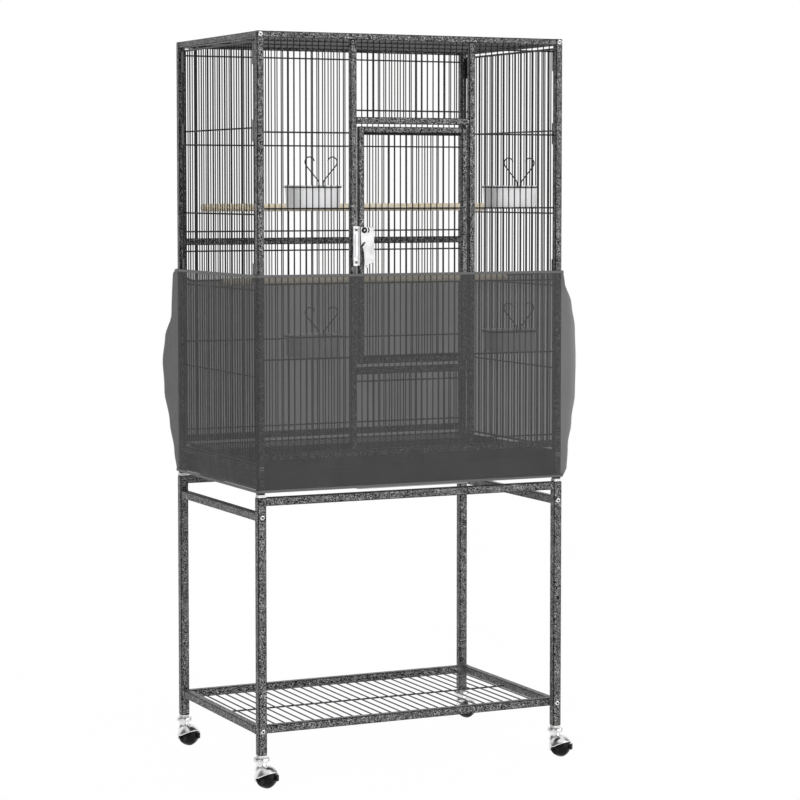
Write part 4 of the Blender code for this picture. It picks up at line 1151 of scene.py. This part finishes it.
def net_offset(x, y, z):
    """How far the net stands off the cage's faces: close at the front left post, baggy elsewhere."""
    share = min(max((z - NET_Z[0]) / (NET_Z[1] - NET_Z[0]), 0.0), 1.0)
    right = min(max(x / POST_X * 0.5 + 0.5, 0.0), 1.0)
    back = min(max(y / POST_Y * 0.5 + 0.5, 0.0), 1.0)
    left_side = curve(NET_FRONT_LEFT, share) * (1 - back) + curve(NET_BACK_LEFT, share) * back
    return left_side * (1 - right) + curve(NET_RIGHT, share) * right


def net_slack(x, y, z):
    """Shallow folds of the net, none at its hems."""
    share = (z - NET_Z[0]) / (NET_Z[1] - NET_Z[0])
    middle = max(math.sin(math.pi * share), 0.0) ** 0.7
    along = x + y
    soft = noise.noise(Vector((x * 9.0, y * 9.0, z * 5.0 + 2.0)))
    slanted = noise.noise(Vector(((along + z * 0.7) * 24.0, (x - y) * 5.0, z * 7.0)))
    fine = noise.noise(Vector(((along - z * 0.4) * 60.0, 3.0, z * 12.0)))
    folds = 0.0
    if y < 0:
        for start, lean, width, depth in NET_CREASES:
            across = (along - start - lean * (z - NET_Z[0])) / width
            folds += depth * math.exp(-across * across)
    return middle * (0.0020 * soft + 0.0016 * slanted + 0.0006 * fine - folds)


def net_sag(x, y, z):
    """How far the upper band hangs down: all along the back, and less and less forward on the right."""
    share = max((z - NET_SEAM_Z) / (NET_Z[1] - NET_SEAM_Z), 0.0)
    past_left = min(max((x + POST_X + 0.006) / 0.03, 0.0), 1.0) if y > POST_Y else 0.0
    forward = min(max(y / POST_Y * 0.5 + 0.5, 0.0), 1.0) if x > POST_X else 0.0
    return NET_BACK_SAG * share * max(past_left * past_left * (3 - 2 * past_left), forward)


def net_ring(z, push=0.0, slack=True):
    """The net's outline at height z, as points."""
    reach = CAGE_TUBE / 2 + NET_HUG
    points = []
    for x, y, out_x, out_y in rounded_outline(POST_X + reach, POST_Y + reach, NET_CORNER, 8, 56):
        move = push + net_offset(x, y, z) - NET_HUG - (net_slack(x, y, z) if slack else 0.0)
        points.append((x + out_x * move, y + out_y * move, z - net_sag(x, y, z)))
    return points


def make_net_band(name, low, high, rows):
    """One open band of netting, with a UV map in metres."""
    bm = bmesh.new()
    heights = [low + (high - low) * row / rows for row in range(rows + 1)]
    sections = [net_ring(z) for z in heights]
    rings = add_skin(bm, sections)
    middle = sections[len(sections) // 2]
    along = [0.0]
    for index in range(len(middle)):
        following = middle[(index + 1) % len(middle)]
        along.append(along[-1] + (Vector(following) - Vector(middle[index])).length)
    column = {vert: index for ring in rings for index, vert in enumerate(ring)}
    layer = bm.loops.layers.uv.new("UVMap")
    last = len(middle) - 1
    for face in bm.faces:
        wraps = {column[loop.vert] for loop in face.loops} == {0, last}
        for loop in face.loops:
            index = column[loop.vert]
            if wraps and index == 0:
                index = last + 1
            loop[layer].uv = (along[index], loop.vert.co.z)
    return make_piece(name, bm, NET, "mesh_cover", sharp=180.0)


def make_hem_ring(name, low):
    """A flat elastic tape round the net's edge."""
    bm = bmesh.new()
    high = low + HEM_HEIGHT
    section = [(-0.0004, low), (0.0005, low + 0.0002), (0.0009, low + 0.0009), (0.0009, high - 0.0009),
               (0.0005, high - 0.0002), (-0.0004, high), (-0.0008, high - 0.0008), (-0.0008, low + 0.0008)]
    add_skin(bm, [net_ring(z, push, slack=False) for push, z in section], closed=True)
    return make_piece(name, bm, HEM, "mesh_cover", sharp=60.0)


def make_cover():
    """Upper band clears the door as it opens; lower band clears the tray and grate."""
    low, high = NET_Z
    upper = make_net_band("net_upper", NET_SEAM_Z, high, 26)
    lower = make_net_band("net_lower", low, NET_SEAM_Z, 18)
    top_hem = make_hem_ring("net_hem_top", high - HEM_HEIGHT)
    low_hem = make_hem_ring("net_hem_low", low)
    for piece in (upper, top_hem):
        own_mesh(piece)
    for piece in (lower, low_hem):
        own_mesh(piece)


# ---------------------------------------------------------------- cups and perches

def cup_ring(x, half_x, half_y, z, corner=0.55):
    return [(x + u, CUP_Y + v, z) for u, v, _, _ in
            rounded_outline(half_x, half_y, min(half_x, half_y) * corner, 7)]


def make_cup(name, x, bottom):
    width, depth, height = CUP_SIZE
    top = bottom + height
    body_x, body_y = width / 2 - CUP_RIM + 0.0014, depth / 2 - CUP_RIM + 0.0010
    rim_x, rim_y = width / 2 - 0.0006, depth / 2 - 0.0006
    outside = [cup_ring(x, body_x * share, body_y * share, bottom + rise) for share, rise in CUP_OUTSIDE]
    rim = [cup_ring(x, half_x + grow, half_y + grow, top - drop) for half_x, half_y, grow, drop in (
        (body_x, body_y, 0.0002, 0.0022), (rim_x, rim_y, -0.0005, 0.0020), (rim_x, rim_y, 0.0, 0.0015),
        (rim_x, rim_y, 0.0, 0.0006), (rim_x, rim_y, -0.0006, 0.0), (body_x, body_y, -0.0004, 0.0),
        (body_x, body_y, 0.0002 - CUP_WALL, 0.0009))]
    inside = [cup_ring(x, body_x * share - CUP_WALL, body_y * share - CUP_WALL, bottom + rise)
              for share, rise in CUP_INSIDE]
    cup = bmesh.new()
    add_capped_skin(cup, outside + rim + inside)
    make_piece(f"cup_bowl_{name}", cup, WHITE_PLASTIC, f"feeder_cup_{name}", body=f"cup_{name}")

    clear = HOLDER_WIRE + 0.0003
    ring_z = top - 0.0022 - clear
    half_x, half_y = body_x + clear, body_y + clear
    holder = bmesh.new()
    add_wire(holder, cup_ring(x, half_x, half_y, ring_z), HOLDER_WIRE, 10, closed=True)
    for sign in (-1, 1):
        start = x + sign * 0.0040
        path = [(start, CUP_Y - half_y + 0.0003, ring_z), (start, HOLDER_Y + 0.0012, ring_z),
                (start, HOLDER_Y, ring_z + 0.0014), (start + sign * 0.0003, HOLDER_Y, top + 0.0050),
                (start + sign * 0.0016, HOLDER_Y, top + 0.0082),
                (x + sign * 0.0290, HOLDER_Y, top + 0.0350)]
        for step in range(13):
            angle = math.radians(-34 + 204 * step / 12)
            path.append((x + sign * (HOOK_EYE[0] + HOOK_EYE_RADIUS * math.cos(angle)), HOLDER_Y,
                         top + HOOK_EYE[1] + HOOK_EYE_RADIUS * math.sin(angle)))
        add_wire(holder, path, HOLDER_WIRE, 10)
    make_piece(f"cup_wire_{name}", holder, BLACK_WIRE, f"cup_holder_{name}")


def make_perch(name, y, z):
    """A dowel with chamfered ends, set between the side wires."""
    bm = bmesh.new()
    r = PERCH_RADIUS
    turned = [(0.0, -PERCH_END), (r - 0.0012, -PERCH_END), (r, -PERCH_END + 0.0012)]
    steps = 40
    for step in range(1, steps):
        along = -PERCH_END + 2 * PERCH_END * step / steps
        waver = 0.00018 * noise.noise(Vector((along * 22.0, y * 40.0, 0.0)))
        turned.append((r - 0.0001 + waver, along))
    turned += [(r, PERCH_END - 0.0012), (r - 0.0012, PERCH_END), (0.0, PERCH_END)]
    add_turned(bm, turned, 28, Matrix.Translation((0, y, z)) @ Matrix.Rotation(math.pi / 2, 4, "Y"))
    make_piece(f"{name}_dowel", bm, WOOD, name)


# ---------------------------------------------------------------- stage

def make_stage():
    floor_mesh = boxes(((-FLOOR_REACH, -FLOOR_REACH, -0.02), (FLOOR_REACH, FLOOR_REACH, 0.0)))
    mesh = bpy.data.meshes.new("floor")
    floor_mesh.to_mesh(mesh)
    floor_mesh.free()
    floor = bpy.data.objects.new("floor", mesh)
    bpy.context.scene.collection.objects.link(floor)
    mesh.materials.append(make_floor_material())

    scene = bpy.context.scene
    scene.view_settings.view_transform = "Standard"
    world = bpy.data.worlds.new("Studio")
    scene.world = world
    world.use_nodes = True
    tree = world.node_tree
    background = tree.nodes["Background"]
    direction = add_node(tree, "TexCoord").outputs["Generated"]
    light = STUDIO_BASE
    for toward, inner, outer, level in STUDIO_PANELS:
        dot = add_node(tree, "VectorMath", {"operation": "DOT_PRODUCT"})
        tree.links.new(direction, dot.inputs[0])
        dot.inputs[1].default_value = Vector(toward).normalized()
        panel = ramp(tree, dot.outputs["Value"], (max(math.cos(math.radians(outer)), 0.0), 0.0),
                     (math.cos(math.radians(inner)), 1.0))
        light = combine(tree, "ADD", light, combine(tree, "MULTIPLY", panel, level))
    camera_ray = add_node(tree, "LightPath").outputs["Is Camera Ray"]
    tree.links.new(blend(tree, camera_ray, light, 1.0), background.inputs["Strength"])
    background.inputs["Color"].default_value = (1.0, 1.0, 1.0, 1.0)


def make_camera():
    data = bpy.data.cameras.new("Camera")
    data.sensor_width = CAMERA_SENSOR
    data.lens = CAMERA_LENS
    data.shift_y = CAMERA_SHIFT
    data.clip_end = 60.0
    camera = bpy.data.objects.new("Camera", data)
    camera.location = CAMERA_PLACE
    camera.rotation_euler = CAMERA_TURN
    bpy.context.scene.collection.objects.link(camera)
    bpy.context.scene.camera = camera


make_camera()
make_stage()
make_stand()
make_shelf()
make_connectors()
for corner_name, (corner_x, corner_y) in CORNERS.items():
    make_caster(corner_name, corner_x, corner_y)
make_front()
make_back()
make_cage_sides()
make_top()
make_bolts()
make_door()
make_keeper()
make_lever()
make_tray()
make_grate()
make_cover()
for cup_name, (cup_x, cup_bottom) in CUPS.items():
    make_cup(cup_name, cup_x, cup_bottom)
for perch_name, (perch_y, perch_z) in PERCHES.items():
    make_perch(perch_name, perch_y, perch_z)
